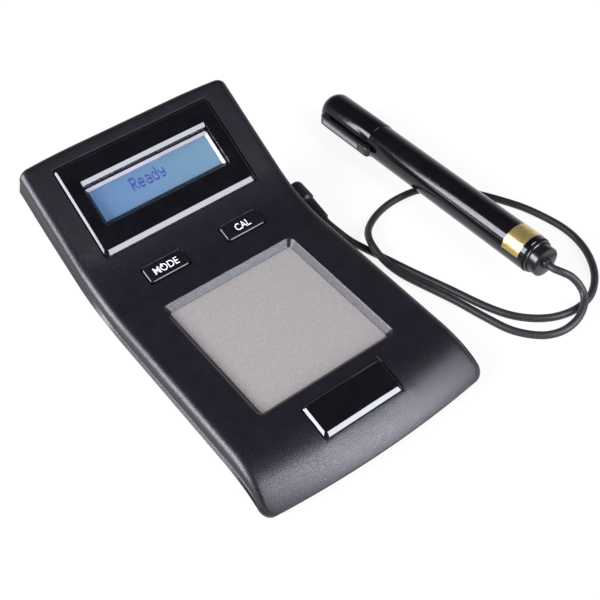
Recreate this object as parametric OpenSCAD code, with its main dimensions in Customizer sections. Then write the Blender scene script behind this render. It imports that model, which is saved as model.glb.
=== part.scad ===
/* [Housing] */
// Width of the housing across its lip
body_w = 112; // [108:1:120]
// Length of the housing from nose to back
body_len = 190.5; // [186:0.5:198]
// Height of the flat deck above the table
deck_z = 18; // [17.5:0.5:21]
// Wall of both shells
wall = 2.2; // [1.8:0.1:2.4]
// Slope of the display end, in degrees
display_slope = 31.5; // [30:0.5:33]
// Distance from the back edge to where the display slope would meet the deck
slope_run = 63.35; // [62.4:0.05:64.2]
// Radius of the hollow between the deck and the display end
wave_r = 70; // [60:1:75]
// Radius of the rolled nose
nose_r = 34; // [32:1:38]
// Drop from the deck to the tip of the nose
nose_drop = 13.6; // [12.5:0.1:14]
// Radius over the back edge
crest_r = 4; // [3:0.5:5]
// Radius of the rounded top edge along both sides
edge_r = 3; // [1.5:0.1:3.4]
// Forward bow of the nose edge
nose_bow = 3.4; // [2:0.1:5]
// Forward curl of the back edge at its two ends
back_bow = 4; // [2:0.1:4.8]
// Depth of the top shell's side band along the deck
lip_mid = 5.6; // [5:0.1:6.5]
// Depth of the side band at the back
lip_back = 9.6; // [8:0.1:10.5]
// Depth of the side band at the tip of the nose
lip_nose = 1.4; // [1.2:0.1:2]
// Outward lean of the side band
lip_lean = 1.4; // [0.8:0.1:1.8]
// How far the bottom shell stands in from the lip
lip_step = 0.8; // [0.5:0.1:1.2]
// Inward lean of the bottom shell's sides, per millimetre of height
side_draft = 0.38; // [0.36:0.01:0.42]
// Inward lean of the back wall, per millimetre of height
back_draft = 0.27; // [0.2:0.01:0.3]
// Floor of the bottom shell
floor_t = 2.2; // [2:0.1:2.6]
// Diameter of the rubber feet
foot_d = 9; // [7:0.5:10]
// Height of the feet below the floor
foot_h = 2; // [1.5:0.1:3]

/* [Display] */
// Width of the display recess
recess_w = 81.4; // [78:0.2:86]
// Length of the display recess along the slope
recess_l = 46.1; // [44:0.1:48]
// Place of the recess's middle along the slope
recess_v = 39.25; // [38.5:0.05:40.5]
// Depth of the recess the display panel stands in
recess_depth = 1.2; // [1:0.1:1.6]
// Thickness of the display panel
panel_t = 2.2; // [1.8:0.1:2.6]
// Width of the rounding round the display panel
panel_edge = 1.5; // [1:0.1:2]
// Width of the display window
window_w = 61.8; // [56:0.2:64]
// Height of the display window
window_l = 15.7; // [14:0.1:16.5]
// How far the panel's opening reaches above the window
window_head = 2.8; // [2.5:0.1:3.2]

/* [Keys] */
// How far the keys stand in front of the slope's foot
key_in = 1.6; // [1:0.1:2.4]
// Distance between the middles of the two keys
key_pitch = 40.9; // [38:0.1:44]
// Width of a key
key_w = 20.3; // [18:0.1:22]
// Length of a key
key_l = 8.6; // [8:0.1:9.5]
// Gap round a key
key_gap = 0.35; // [0.25:0.05:0.5]
// Travel of a key
key_travel = 0.7; // [0.3:0.1:0.8]

/* [Test plate and badge] */
// Width of the test pocket at the deck
pocket_w = 69.2; // [66:0.2:71]
// Distance from the keys to the test pocket
key_space = 13; // [12:0.1:14.5]
// Distance from the badge to the test pocket
badge_space = 6.4; // [5.5:0.1:7.5]
// Depth of the test pocket
pocket_depth = 3; // [2.5:0.1:3.5]
// Width of the bevel round the test pocket
pocket_bevel = 2.4; // [1.5:0.1:3]
// Thickness of the test plate
plate_t = 1; // [0.8:0.1:1.2]
// Width of the badge recess
badge_w = 40; // [36:0.5:44]
// Length of the badge recess
badge_l = 17; // [15:0.5:18]
// Distance from the tip of the nose to the badge's middle
badge_in = 19.85; // [19.25:0.05:20.75]

/* [Battery] */
// Length of the block battery
battery_l = 48.5; // [46:0.5:49]
// Width of the block battery
battery_w = 26.5; // [25:0.5:26.5]
// Thickness of the block battery
battery_t = 17.3; // [16:0.1:17.5]

/* [Probe plug] */
// Distance from the back edge to the socket
jack_in = 56.75; // [56.25:0.05:57.75]
// Height of the socket above the table
jack_z = 10.5; // [10.2:0.1:11.5]
// Diameter of the plug pin
pin_d = 3.4; // [2.4:0.1:3.5]
// Length of the plug pin
pin_l = 14; // [12:0.5:14.5]
// Diameter of the plug's moulded head
plug_d = 8; // [7:0.5:8.5]
// Droop of the plug towards the table, in degrees
plug_tilt = 10; // [6:1:12]

/* [Probe pen] */
// Length of the pen with its cap on
pen_len = 156; // [150:1:160]
// Diameter of the barrel
barrel_d = 17.2; // [16:0.1:17.4]
// Wall of the barrel
barrel_wall = 1.6; // [1.4:0.1:2]
// Wall of the cap
cap_wall = 1.4; // [1.2:0.1:1.6]
// Length of the cap
cap_l = 41; // [38:1:46]
// Diameter of the cap
cap_d = 17.8; // [17.6:0.1:18.4]
// Diameter of the tail plug
tail_d = 14.3; // [13:0.1:15]
// Length of the tail plug outside the barrel
tail_l = 9.5; // [8:0.5:12]
// Length of the clip
clip_l = 40; // [36:1:42]
// Width of the clip
clip_w = 5.6; // [4.5:0.1:6.5]
// How far the cap pulls off
cap_pull = 45; // [40:1:60]
// Height of the tail end's middle above the table
pen_tail_z = 15.9; // [15.5:0.1:18]
// Distance of the pen's tail from the housing's middle line
pen_x = 112.2; // [110:0.1:116]
// How far the pen's tail lies in front of the middle
pen_y = 70; // [68:0.5:72]

/* [Cord] */
// Diameter of the cord
cord_d = 3.5; // [3:0.1:4]

/* [Hidden] */
$fn = 48;
tiny = 0.01;
fit = 0.3; // clearance of parts that drop in or slide
snug = 0.05; // radial clearance of pins and screws
pen_yaw = -0.74; // turn of the pen on the table

// Places along the side profile
half_len = body_len / 2;
half_w = body_w / 2;
slope_foot = half_len - slope_run;
key_y = slope_foot - key_in;
badge_y = badge_in - half_len;
pocket_back = key_y - key_l / 2 - key_space;
pocket_front = badge_y + badge_l / 2 + badge_space;
pocket_l = pocket_back - pocket_front;
pocket_y = (pocket_back + pocket_front) / 2;
jack_y = half_len - jack_in;
nose_angle = acos(1 - nose_drop / nose_r);
nose_start = -half_len + nose_r * sin(nose_angle);
bend_start = slope_foot - wave_r * tan(display_slope / 2);
bend_end = bend_start + wave_r * sin(display_slope);
crest_y = half_len - crest_r;
crest_z = deck_z + tan(display_slope) * (crest_y - slope_foot) - crest_r / cos(display_slope);
crest_top = crest_z + crest_r;
corner_r = 4; // plan radius of the two front corners
back_corner_r = 6;
edge_break = 0.3; // chamfer under the lip
bow_start = 40; // how far from the middle the two end edges begin to bow
back_flat = 25; // half of the back edge that stays straight
nose_reach = 25; // length over which the side band thins towards the nose
lip_ramp = [20, 70]; // stretch over which the side band deepens

// Levels inside
base_z = foot_h;
floor_z = base_z + floor_t;
board_t = 1.6; // thickness of each circuit board
board_z = floor_z + 0.8;
board_top = board_z + board_t;
tray_t = 2; // floor under the test plate
plate_z = deck_z - pocket_depth;
tray_z = plate_z - plate_t - tray_t;

function clamp01(v) = max(0, min(1, v));
function mix(a, b, t) = a + (b - a) * t;

// Side profile from nose to back: each station is [y, z, slope angle]
nose_steps = 9;
deck_steps = 3;
bend_steps = 6;
slope_steps = 3;
crest_steps = 6;
slope_end = [crest_y - crest_r * sin(display_slope), crest_z + crest_r * cos(display_slope)];
bend_top = deck_z + wave_r * (1 - cos(display_slope));
profile = concat(
  [for (i = [0:nose_steps - 1]) let (a = nose_angle * (1 - pow(i / nose_steps, 1.4)))
    [nose_start - nose_r * sin(a), deck_z - nose_r * (1 - cos(a)), a]],
  [for (i = [0:deck_steps]) [mix(nose_start, bend_start, i / deck_steps), deck_z, 0]],
  [for (i = [1:bend_steps]) let (a = display_slope * i / bend_steps)
    [bend_start + wave_r * sin(a), deck_z + wave_r * (1 - cos(a)), a]],
  [for (i = [1:slope_steps])
    [mix(bend_end, slope_end[0], i / slope_steps), mix(bend_top, slope_end[1], i / slope_steps),
      display_slope]],
  [for (i = [1:crest_steps]) let (a = display_slope - (display_slope + 90) * i / crest_steps)
    [crest_y - crest_r * sin(a), crest_z + crest_r * cos(a), a]]);

// Depth of the side band, plan rounding of the corners and bow of the end edges
function lip_depth(y) = y < -half_len + nose_reach
  ? mix(lip_nose, lip_mid, sin(90 * (y + half_len) / nose_reach))
  : mix(lip_mid, lip_back, clamp01((y - lip_ramp[0]) / (lip_ramp[1] - lip_ramp[0])));
function corner_cut(y, d = 0) = let (
    e = half_len - abs(y) - d,
    r = y > 0 ? back_corner_r : corner_r)
  e >= r ? 0 : r - sqrt(r * r - pow(r - max(e, 0), 2));
function nose_part(y) = clamp01((-y - bow_start) / (half_len - bow_start));
function back_part(y) = clamp01((y - bow_start) / (half_len - bow_start));
function bow(x, y) = nose_bow * nose_part(y) * pow(x / half_w, 2)
  - back_bow * back_part(y) * pow(max(0, abs(x) - back_flat) / (half_w - back_flat), 2);
function parting_z(s) = (s[2] < 0 ? crest_top : s[1]) - lip_depth(s[0]);

// A solid through stations that each have an upper and a lower chain of points
module loft(uppers, lowers) {
  m = len(uppers[0]);
  n = len(uppers);
  points = [for (i = [0:n - 1]) each concat(uppers[i], lowers[i])];
  function up(i, j) = i * 2 * m + j;
  function low(i, j) = i * 2 * m + m + j;
  faces = concat(
    [for (i = [0:n - 2], j = [0:m - 2]) each [[up(i, j), up(i, j + 1), up(i + 1, j + 1)],
      [up(i, j), up(i + 1, j + 1), up(i + 1, j)]]],
    [for (i = [0:n - 2], j = [0:m - 2]) each [[low(i, j), low(i + 1, j + 1), low(i, j + 1)],
      [low(i, j), low(i + 1, j), low(i + 1, j + 1)]]],
    [for (i = [0:n - 2]) each [[up(i, 0), up(i + 1, 0), low(i + 1, 0)],
      [up(i, 0), low(i + 1, 0), low(i, 0)]]],
    [for (i = [0:n - 2]) each [[up(i, m - 1), low(i + 1, m - 1), up(i + 1, m - 1)],
      [up(i, m - 1), low(i, m - 1), low(i + 1, m - 1)]]],
    [for (j = [0:m - 2]) each [[up(0, j), low(0, j + 1), up(0, j + 1)],
      [up(0, j), low(0, j), low(0, j + 1)]]],
    [for (j = [0:m - 2]) each [[up(n - 1, j), up(n - 1, j + 1), low(n - 1, j + 1)],
      [up(n - 1, j), low(n - 1, j + 1), low(n - 1, j)]]]);
  polyhedron(points, faces, convexity = 8);
}

// Top shell's form, set in by a wall and cut deeper below for its hollow
band_xs = [0.72, 0.48, 0.24, 0, -0.24, -0.48, -0.72];
function top_row(s, inset, deeper) = let (
    w = half_w - corner_cut(s[0]) - inset,
    x = w - lip_lean,
    z = s[1] - inset * cos(s[2]),
    low = parting_z(s) - deeper,
    r = min(edge_r, (z - low) * 0.6),
    arc = [for (a = [0, 30, 60, 90]) [x - r * (1 - cos(a)), z - r * (1 - sin(a))]])
  concat([[w, low + edge_break]], arc,
    [for (k = band_xs) [k * x, z]],
    [for (i = [3:-1:0]) [-arc[i][0], arc[i][1]]], [[-w, low + edge_break]]);
function placed(row, s, inset) = [for (p = row) [p[0], s[1] == undef ? 0
  : s[0] + inset * sin(s[2]) + bow(p[0], s[0]), p[1]]];
function under(row, low) = [for (i = [0:len(row) - 1])
  [i == 0 ? row[i][0] - edge_break : i == len(row) - 1 ? row[i][0] + edge_break : row[i][0] * 0.97, low]];
module top_form(inset, deeper) {
  rows = [for (s = profile) top_row(s, inset, deeper)];
  n = len(profile) - 1;
  loft([for (i = [0:n]) placed(rows[i], profile[i], inset)],
    [for (i = [0:n]) placed(under(rows[i], parting_z(profile[i]) - deeper), profile[i], inset)]);
}

// Bottom shell's form: from the parting line down to a narrower floor
hull_xs = [1, 0.93, 0.5, 0, -0.5, -0.93, -1];
seam = 0.1; // gap at the parting line
hull_stations = concat([[-half_len + lip_step, profile[0][1], profile[0][2]]],
  [for (s = profile) if (abs(s[0]) < half_len - lip_step - 0.4) s],
  [[half_len - lip_step, crest_z, -90]]);
function hull_shift(s, h) = nose_part(s[0]) * h * 0.76 - back_part(s[0]) * h * back_draft;
module hull_form(inset, low, raise) {
  kept = [for (s = hull_stations) if (inset == 0 || parting_z(s) > low + 2) s];
  n = len(kept) - 1;
  function in_y(s) = inset * (s[0] < 0 ? nose_part(s[0]) : -back_part(s[0]));
  function top_w(s) = half_w - corner_cut(s[0], lip_step) - lip_step - inset * 1.15;
  function top_of(s) = parting_z(s) - seam + raise;
  uppers = [for (s = kept) [for (k = hull_xs) let (x = k * (top_w(s) + side_draft * raise))
    [x, s[0] + in_y(s) + bow(x, s[0]) + hull_shift(s, 0), top_of(s)]]];
  lowers = [for (s = kept) let (
      h = parting_z(s) - seam - low,
      e = min(2.5, h * 0.4),
      w = top_w(s) - side_draft * h,
      flat = w - e * 0.5,
      y = s[0] + in_y(s) + hull_shift(s, h),
      up = s[0] + in_y(s) + hull_shift(s, h - e))
    [[w + side_draft * e, up + bow(w, s[0]), low + e], [flat, y + bow(flat, s[0]), low],
      [flat / 2, y + bow(flat / 2, s[0]), low], [0, y, low], [-flat / 2, y + bow(flat / 2, s[0]), low],
      [-flat, y + bow(flat, s[0]), low], [-w - side_draft * e, up + bow(w, s[0]), low + e]]];
  loft(uppers, lowers);
}

// Rounded rectangle, centred
module rounded(w, l, r) {
  square([w - 2 * r, l], center = true);
  square([w, l - 2 * r], center = true);
  for (x = [-1, 1], y = [-1, 1])
    translate([x * (w / 2 - r), y * (l / 2 - r)])
      circle(r);
}

// Puts the middle of the housing and the pen together at the origin
centre_x = (pen_x + sin(-pen_yaw) * pen_len + cap_d / 2 - half_w) / 2;
module centred() {
  translate([-centre_x, 0, 0])
    children();
}

module slab(w, l, t, r) {
  linear_extrude(t)
    rounded(w, l, r);
}

// A pocket whose walls lean in from the surface at z = 0 to its floor
module bevelled_pocket(w, l, depth, bevel, r, over = 1.5) {
  grow = bevel * over / depth;
  hull() {
    translate([0, 0, -depth])
      slab(w - 2 * bevel, l - 2 * bevel, tiny, r, $fn = 32);
    translate([0, 0, over])
      slab(w + 2 * grow, l + 2 * grow, tiny, r + grow, $fn = 32);
  }
}

// Frames on the housing's surface
module on_display() {
  translate([0, slope_foot, deck_z])
    rotate([display_slope, 0, 0])
      translate([0, recess_v, 0])
        children();
}

key_slope = asin((key_y - bend_start) / wave_r);
key_z = deck_z + wave_r * (1 - cos(key_slope));
module on_keys() {
  translate([0, key_y, key_z])
    rotate([key_slope, 0, 0])
      children();
}

badge_slope = asin((nose_start - badge_y) / nose_r);
badge_z = deck_z - nose_r * (1 - cos(badge_slope));
module on_badge() {
  translate([0, badge_y, badge_z])
    rotate([badge_slope, 0, 0])
      children();
}

// Screws and posts
screw_spots = [[half_w - 13, 33.25 - half_len], [half_w - 20, half_len - 45.25]]; // one side
screw_d = 3;
screw_head_d = 5.6;
screw_l = 10;
post_d = 6.4;
boss_d = 8.4;
boss_top = base_z + 5;
seat_z = base_z + 3; // under which the screw heads sit
post_z = boss_top + 0.2;
main_board_w = 84;
main_board_y = [40.25 - half_len, half_len - 54.25];
board_spots = [[main_board_w / 2 - 6, main_board_y[0] + 7], [main_board_w / 2 - 6, main_board_y[1] - 15]];
board_screw_d = 2.4;
board_post_d = 6;
small_head_d = 4;
small_head_t = 1.4;
lcd_spots = [37.8, 14.4];
lcd_post_d = 4.4;
key_post_x = 35.5;

module both_sides() {
  children();
  mirror([1, 0, 0])
    children();
}

// Display stack below the recess, measured down from the surface
recess_draft = 0.15; // how far the recess walls lean in
panel_gap = 0.15;
display_tray = recess_depth + 2.2;
lcd_top = -recess_depth - 0.1;
lcd_w = 71.2;
lcd_l = 25.4;
lcd_t = 5.4;
lcd_board_top = lcd_top - lcd_t;
lcd_board_w = 80;
lcd_board_l = 34;
lcd_hole_w = lcd_w + 2.8;
lcd_hole_l = lcd_l + 2.6;

// Key stack, measured down from the surface
key_rise = 1;
key_corner = 1.4;
key_edge = 1.1; // width of the bevel round a key
key_base = 0.2; // height at which that bevel begins
flange_t = 0.9;
flange_out = 1.2;
key_stem_d = 4.4;
key_floor = -wall - fit - flange_t; // underside of a key's flange
key_stem = key_floor - 1.4;
switch_top = key_stem - key_travel - fit;
switch_t = 2.4;
switch_size = 6;
plunger_d = 3.2;
plunger_l = 1.8;
switch_well = plunger_l - key_stem + switch_top + key_travel + 0.2;
key_board_top = switch_top - switch_t;
key_board_w = 76;
key_board_l = 13;

module top_shell() {
  color("#232328") centred() {
    difference() {
      union() {
        difference() {
          top_form(0, 0);
          top_form(wall, 4);
        }
        intersection() {
          top_form(wall / 2, 4);
          union() {
            translate([0, pocket_y, tray_z])
              slab(pocket_w + 4, pocket_l + 4, deck_z - tray_z, 3);
            on_display()
              translate([0, 0, -display_tray])
                slab(recess_w + 4, recess_l + 4, display_tray, 3);
            on_badge()
              translate([0, 0, -wall - 2])
                slab(badge_w + 3, badge_l + 3, wall + 2, 2);
          }
        }
        top_posts();
      }
      on_display() {
        bevelled_pocket(recess_w, recess_l, recess_depth, recess_draft, 2.2);
        translate([0, 0, -display_tray - 1])
          slab(lcd_hole_w, lcd_hole_l, display_tray + 2, 1);
      }
      translate([0, pocket_y, deck_z])
        bevelled_pocket(pocket_w, pocket_l, pocket_depth, pocket_bevel, 2);
      translate([0, pocket_y, plate_z - plate_t])
        slab(plate_w + 2 * plate_gap, plate_l + 2 * plate_gap, plate_t + 0.5, 1.2);
      translate([0, pocket_y, tray_z - 1])
        cylinder(d = contact_d + 2, h = tray_t + 2);
      on_badge()
        bevelled_pocket(badge_w, badge_l, badge_depth, recess_draft, 1.8);
      for (x = [-1, 1])
        on_keys()
          translate([x * key_pitch / 2, 0, -wall - 3])
            slab(key_w + 2 * key_gap, key_l + 2 * key_gap, wall + 6, 1.6);
    }
  }
}

plate_gap = 0.2;
plate_w = pocket_w - 2 * pocket_bevel - 2 * plate_gap;
plate_l = pocket_l - 2 * pocket_bevel - 2 * plate_gap;
contact_d = 5;
badge_depth = 1.1;

// Posts that hang from the top shell, each with its screw hole
module hanging_post(d, hole, from, to) {
  difference() {
    translate([0, 0, from])
      cylinder(d = d, h = to - from);
    translate([0, 0, from - 1])
      cylinder(d = hole, h = min(to - from, screw_l) + 1);
  }
}

module top_posts() {
  intersection() {
    top_form(wall / 2, 60);
    both_sides()
      for (p = screw_spots)
        translate([p[0], p[1], 0])
          hanging_post(post_d, screw_d + 2 * snug, post_z, 60);
  }
  on_display()
    for (x = [-1, 1], y = [-1, 1])
      translate([x * lcd_spots[0], y * lcd_spots[1], 0])
        hanging_post(lcd_post_d, board_screw_d + 2 * snug, lcd_board_top, -recess_depth - 1);
  on_keys()
    for (x = [-key_post_x, 0, key_post_x])
      translate([x, 0, 0])
        hanging_post(lcd_post_d, board_screw_d + 2 * snug, key_board_top, -wall / 2);
}

// Battery bay in the floor, with grooves for the door's edges
stud_l = 2.8; // battery terminals
snap_t = 3.4;
snap_gap = 0.2;
battery_play = 1;
lead_room = 2.1; // for the leads at the end of the bay
side_room = 1.35;
bay_w = battery_l + stud_l + snap_gap + snap_t + battery_play + lead_room;
bay_y = [half_len - 23.05 - battery_w - 2 * side_room, half_len - 23.05];
bay_wall = 1.4;
bay_h = 14;
door_t = 1.6;
door_w = bay_w - 1;
tongue = 1.2;
tongue_t = 0.8;
rail_h = floor_t + 1.4;
rear_edge = half_len - lip_step - back_draft * (crest_top - lip_back - base_z);
door_back = rear_edge - 0.5;

module bottom_shell() {
  color("#1f1f24") centred() {
    difference() {
      union() {
        difference() {
          hull_form(0, base_z, 0);
          hull_form(wall, floor_z, 4);
        }
        intersection() {
          hull_form(0, base_z, 0);
          union() {
            bay_walls();
            both_sides()
              for (p = screw_spots)
                translate([p[0], p[1], base_z])
                  cylinder(d = boss_d, h = boss_top - base_z);
            both_sides()
              for (p = board_spots)
                translate([p[0], p[1], base_z])
                  cylinder(d = board_post_d, h = board_z - base_z);
          }
        }
        translate([socket_back, jack_y, jack_z])
          rotate([0, 90, 0])
            cylinder(d = socket_boss_d, h = socket_face - socket_back);
      }
      door_cut();
      both_sides()
        for (p = screw_spots)
          translate([p[0], p[1], 0])
            screw_hole();
      both_sides()
        for (p = board_spots)
          translate([p[0], p[1], base_z + 0.9])
            cylinder(d = board_screw_d + 2 * snug, h = 10);
      both_sides()
        for (p = foot_spots)
          translate([p[0], p[1], base_z - 1])
            cylinder(d = foot_d + 0.4, h = 1 + foot_seat);
      translate([socket_back - 1, jack_y, jack_z])
        rotate([0, 90, 0])
          cylinder(d = socket_d + 2 * snug, h = 20);
      translate([socket_face, jack_y, jack_z])
        rotate([0, 90, 0])
          cylinder(d = plug_neck_d + 1, h = wall);
    }
  }
}

module bay_walls() {
  difference() {
    translate([-bay_w / 2 - bay_wall, bay_y[0] - bay_wall, base_z])
      cube([bay_w + 2 * bay_wall, bay_y[1] - bay_y[0] + 2 * bay_wall, bay_h]);
    translate([-bay_w / 2, bay_y[0], floor_z])
      cube([bay_w, bay_y[1] - bay_y[0], bay_h]);
    translate([wire_x - 1.6, bay_y[0] - 3, floor_z + 5])
      cube([5, 6, bay_h]);
  }
  for (x = [-1, 1])
    translate([x * (bay_w / 2 + 1) - 2.2, bay_y[0] - bay_wall, base_z])
      cube([4.4, rear_edge - bay_y[0], rail_h]);
}

module door_cut() {
  translate([-bay_w / 2, bay_y[0], -1])
    cube([bay_w, bay_y[1] - bay_y[0], base_z + rail_h + 1.1]);
  translate([-bay_w / 2, bay_y[0], -1])
    cube([bay_w, half_len, base_z + door_t + fit + 1]);
  translate([-bay_w / 2 - tongue - fit, bay_y[0], base_z + door_t - tongue_t - fit])
    cube([bay_w + 2 * tongue + 2 * fit, half_len, tongue_t + 2 * fit]);
}

module screw_hole() {
  translate([0, 0, base_z - 1])
    cylinder(d = screw_head_d + 0.6, h = seat_z - base_z + 1);
  cylinder(d = screw_d + 0.4, h = boss_top + 1);
}

foot_spots = [[half_w - 14, 19.25 - half_len], [half_w - 20.5, half_len - 18.25]];
foot_seat = 0.8; // how far a foot sits into the floor
socket_d = 6;
socket_boss_d = 10;
socket_wall = half_w - lip_step - side_draft * 5;
socket_face = socket_wall + 0.6;
socket_back = socket_face - 7;
plug_neck_d = plug_d - 1;

module battery_door() {
  color("#1f1f24") centred() {
    translate([-door_w / 2, bay_y[0] + fit, base_z])
      difference() {
        cube([door_w, door_back - bay_y[0] - fit, door_t]);
        for (i = [0:4])
          translate([door_w / 2 - 9, door_back - bay_y[0] - 12 + 2 * i, -tiny])
            cube([18, 1, 0.5]);
      }
    translate([-door_w / 2 - tongue, bay_y[0] + fit, base_z + door_t - tongue_t])
      cube([door_w + 2 * tongue, door_back - bay_y[0] - fit - 1, tongue_t]);
  }
}

// Block battery, lying across the bay with its terminals to the left
battery_z = base_z + door_t + fit;
battery_y = (bay_y[0] + bay_y[1]) / 2;
battery_x = bay_w / 2 - battery_play - battery_l;
snap_x = battery_x - stud_l - snap_gap - snap_t;
wire_x = snap_x + 1.5;
module battery() {
  color("#8f7a3c") centred()
    translate([battery_x + battery_l / 2, battery_y, battery_z + battery_t / 2])
      rotate([0, 90, 0])
        translate([0, 0, -battery_l / 2])
          slab(battery_t, battery_w, battery_l, 1.5);
  color("silver") centred()
    for (y = [-1, 1])
      translate([battery_x - stud_l, battery_y + y * 6.35, battery_z + battery_t / 2])
        rotate([0, 90, 0])
          cylinder(d = y < 0 ? 5.6 : 7.6, h = stud_l);
}

module battery_snap() {
  color("#202020") centred()
    translate([snap_x, battery_y, battery_z + battery_t / 2])
      rotate([0, 90, 0])
        slab(battery_t - 4.9, battery_w - 1.1, snap_t, 3);
}

module rubber_feet() {
  color("#151515") centred()
    both_sides()
      for (p = foot_spots)
        translate([p[0], p[1], 0]) {
          cylinder(d1 = foot_d - 1, d2 = foot_d, h = 0.6);
          translate([0, 0, 0.6])
            cylinder(d = foot_d, h = base_z + foot_seat - 0.6);
        }
}

module housing_screws() {
  color("silver") centred()
    both_sides()
      for (p = screw_spots)
        translate([p[0], p[1], seat_z]) {
          difference() {
            translate([0, 0, -2])
              cylinder(d = screw_head_d, h = 2);
            for (a = [0, 90])
              rotate([0, 0, a])
                translate([-1.6, -0.3, -2.1])
                  cube([3.2, 0.6, 1.2]);
          }
          cylinder(d = screw_d, h = screw_l);
        }
}

// Display parts
// Plate whose upper edges are rounded in three steps
module cushion(w, l, t, edge, r) {
  rise = [0.65, 0.3, 0.08, 0];
  set_in = [0, 0.3, 0.65, 1];
  hull()
    for (i = [0:3])
      translate([0, 0, i == 0 ? 0 : t - edge * rise[i] - tiny])
        slab(w - 2 * edge * set_in[i], l - 2 * edge * set_in[i], i == 0 ? t - edge * rise[0] : tiny, r, $fn = 24);
}

window_side = 1.9; // how far the opening reaches beyond the window's other sides
opening_w = window_w + 2 * window_side;
opening_l = window_l + window_side + window_head;
opening_v = (window_head - window_side) / 2;
module display_panel() {
  color("#08080a") centred()
    on_display()
      translate([0, 0, -recess_depth])
        difference() {
          cushion(recess_w - 2 * recess_draft - 2 * panel_gap, recess_l - 2 * recess_draft - 2 * panel_gap,
            panel_t, panel_edge, 2.1);
          translate([0, opening_v, 0]) {
            hull() {
              translate([0, 0, panel_t - 0.6])
                slab(opening_w, opening_l, tiny, 0.4);
              translate([0, 0.7, panel_t + tiny])
                slab(opening_w + 1.6, opening_l + 3, tiny, 1);
            }
            translate([0, 0, -1])
              slab(opening_w, opening_l, panel_t + 2, 0.4);
            translate([0, 0, -1])
              slab(lens_w + 0.2, lens_l + 0.2, 1 + lens_t + tiny, 0.4);
          }
        }
}

lens_w = opening_w + 3;
lens_l = opening_l + 3;
lens_t = 0.6;
module display_lens() {
  color("#b8c8d8", 0.4) centred()
    on_display()
      translate([0, opening_v, -recess_depth])
        slab(lens_w, lens_l, lens_t, 0.4);
}

frame_t = 0.5;
bezel_t = 1.5; // depth of the frame's sloping front
bezel_in = 1.4;
module lcd_frame() {
  color("#17171a") centred()
    on_display()
      translate([0, 0, lcd_top - lcd_t])
        difference() {
          slab(lcd_w, lcd_l, lcd_t, 0.8);
          translate([0, 0, -tiny])
            slab(lcd_w - 2 * frame_t, lcd_l - 2 * frame_t, lcd_t - bezel_t + tiny, 0.5);
          slab(window_w, window_l, lcd_t + 1, 0.3);
          translate([0, 0, lcd_t - bezel_t])
            hull() {
              translate([0, 0, 0.2])
                slab(window_w, window_l, tiny, 0.3);
              translate([0, 0, bezel_t + tiny])
                slab(window_w + 2 * bezel_in, window_l + 2 * bezel_in, tiny, 0.6);
            }
        }
}

module lcd_glass() {
  color("#7aa0c8") centred()
    on_display()
      translate([0, 0, lcd_top - lcd_t])
        slab(lcd_w - 2 * frame_t - 0.4, lcd_l - 2 * frame_t - 0.4, lcd_t - bezel_t, 0.5);
}

module lcd_board() {
  color("#1f6b3a") centred()
    on_display()
      translate([0, 0, lcd_board_top - board_t])
        difference() {
          slab(lcd_board_w, lcd_board_l, board_t, 1);
          for (x = [-1, 1], y = [-1, 1])
            translate([x * lcd_spots[0], y * lcd_spots[1], -1])
              cylinder(d = board_screw_d + 2 * snug, h = board_t + 2);
        }
}

// Keys: a bevelled cap, a flange that keeps it in, and a stem
module key_cap(side) {
  color("#101014") centred()
    on_keys()
      translate([side * key_pitch / 2, 0, 0]) {
        translate([0, 0, key_floor])
          slab(key_w, key_l, key_base - key_floor, key_corner);
        hull() {
          translate([0, 0, key_base])
            slab(key_w, key_l, tiny, key_corner, $fn = 24);
          translate([0, 0, key_rise])
            slab(key_w - 2 * key_edge, key_l - 2 * key_edge, tiny, key_corner - 0.5, $fn = 24);
        }
        translate([0, 0, key_floor])
          slab(key_w + 2 * flange_out, key_l + 2 * flange_out, flange_t, key_corner);
        translate([0, 0, key_stem])
          cylinder(d = key_stem_d, h = key_floor - key_stem + tiny);
      }
}

module mode_key() {
  key_cap(-1);
}

module cal_key() {
  key_cap(1);
}

module plunger(side) {
  color("#8a8a8a") centred()
    on_keys()
      translate([side * key_pitch / 2, 0, key_stem - plunger_l])
        cylinder(d = plunger_d, h = plunger_l);
}

module mode_plunger() {
  plunger(-1);
}

module cal_plunger() {
  plunger(1);
}

module key_switches() {
  color("#5c5c60") centred()
    on_keys()
      for (side = [-1, 1])
        translate([side * key_pitch / 2, 0, key_board_top])
          difference() {
            translate([-switch_size / 2, -switch_size / 2, 0])
              cube([switch_size, switch_size, switch_t]);
            translate([0, 0, switch_t - switch_well])
              cylinder(d = plunger_d + 0.3, h = 3);
          }
}

module key_board() {
  color("#1f6b3a") centred()
    on_keys()
      translate([0, 0, key_board_top - board_t])
        difference() {
          slab(key_board_w, key_board_l, board_t, 1);
          for (x = [-key_post_x, 0, key_post_x])
            translate([x, 0, -1])
              cylinder(d = board_screw_d + 2 * snug, h = board_t + 2);
        }
}

// Test plate and the sprung contact that touches it from below
module test_plate() {
  color("#b5b0aa") centred()
    translate([0, pocket_y, plate_z - plate_t])
      slab(plate_w, plate_l, plate_t, 1);
}

module plate_contact() {
  color("#c9a24a") centred()
    translate([0, pocket_y, board_top]) {
      cylinder(d = contact_d, h = (plate_z - plate_t - board_top) * 0.6);
      cylinder(d = contact_d / 2, h = plate_z - plate_t - board_top);
    }
}

badge_t = 1.9;
badge_edge = 1.3;
module badge_plate() {
  color("#0a0a0c") centred()
    on_badge()
      translate([0, 0, -badge_depth])
        cushion(badge_w - 2 * recess_draft - 2 * panel_gap, badge_l - 2 * recess_draft - 2 * panel_gap,
          badge_t, badge_edge, 1.7);
}

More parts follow.
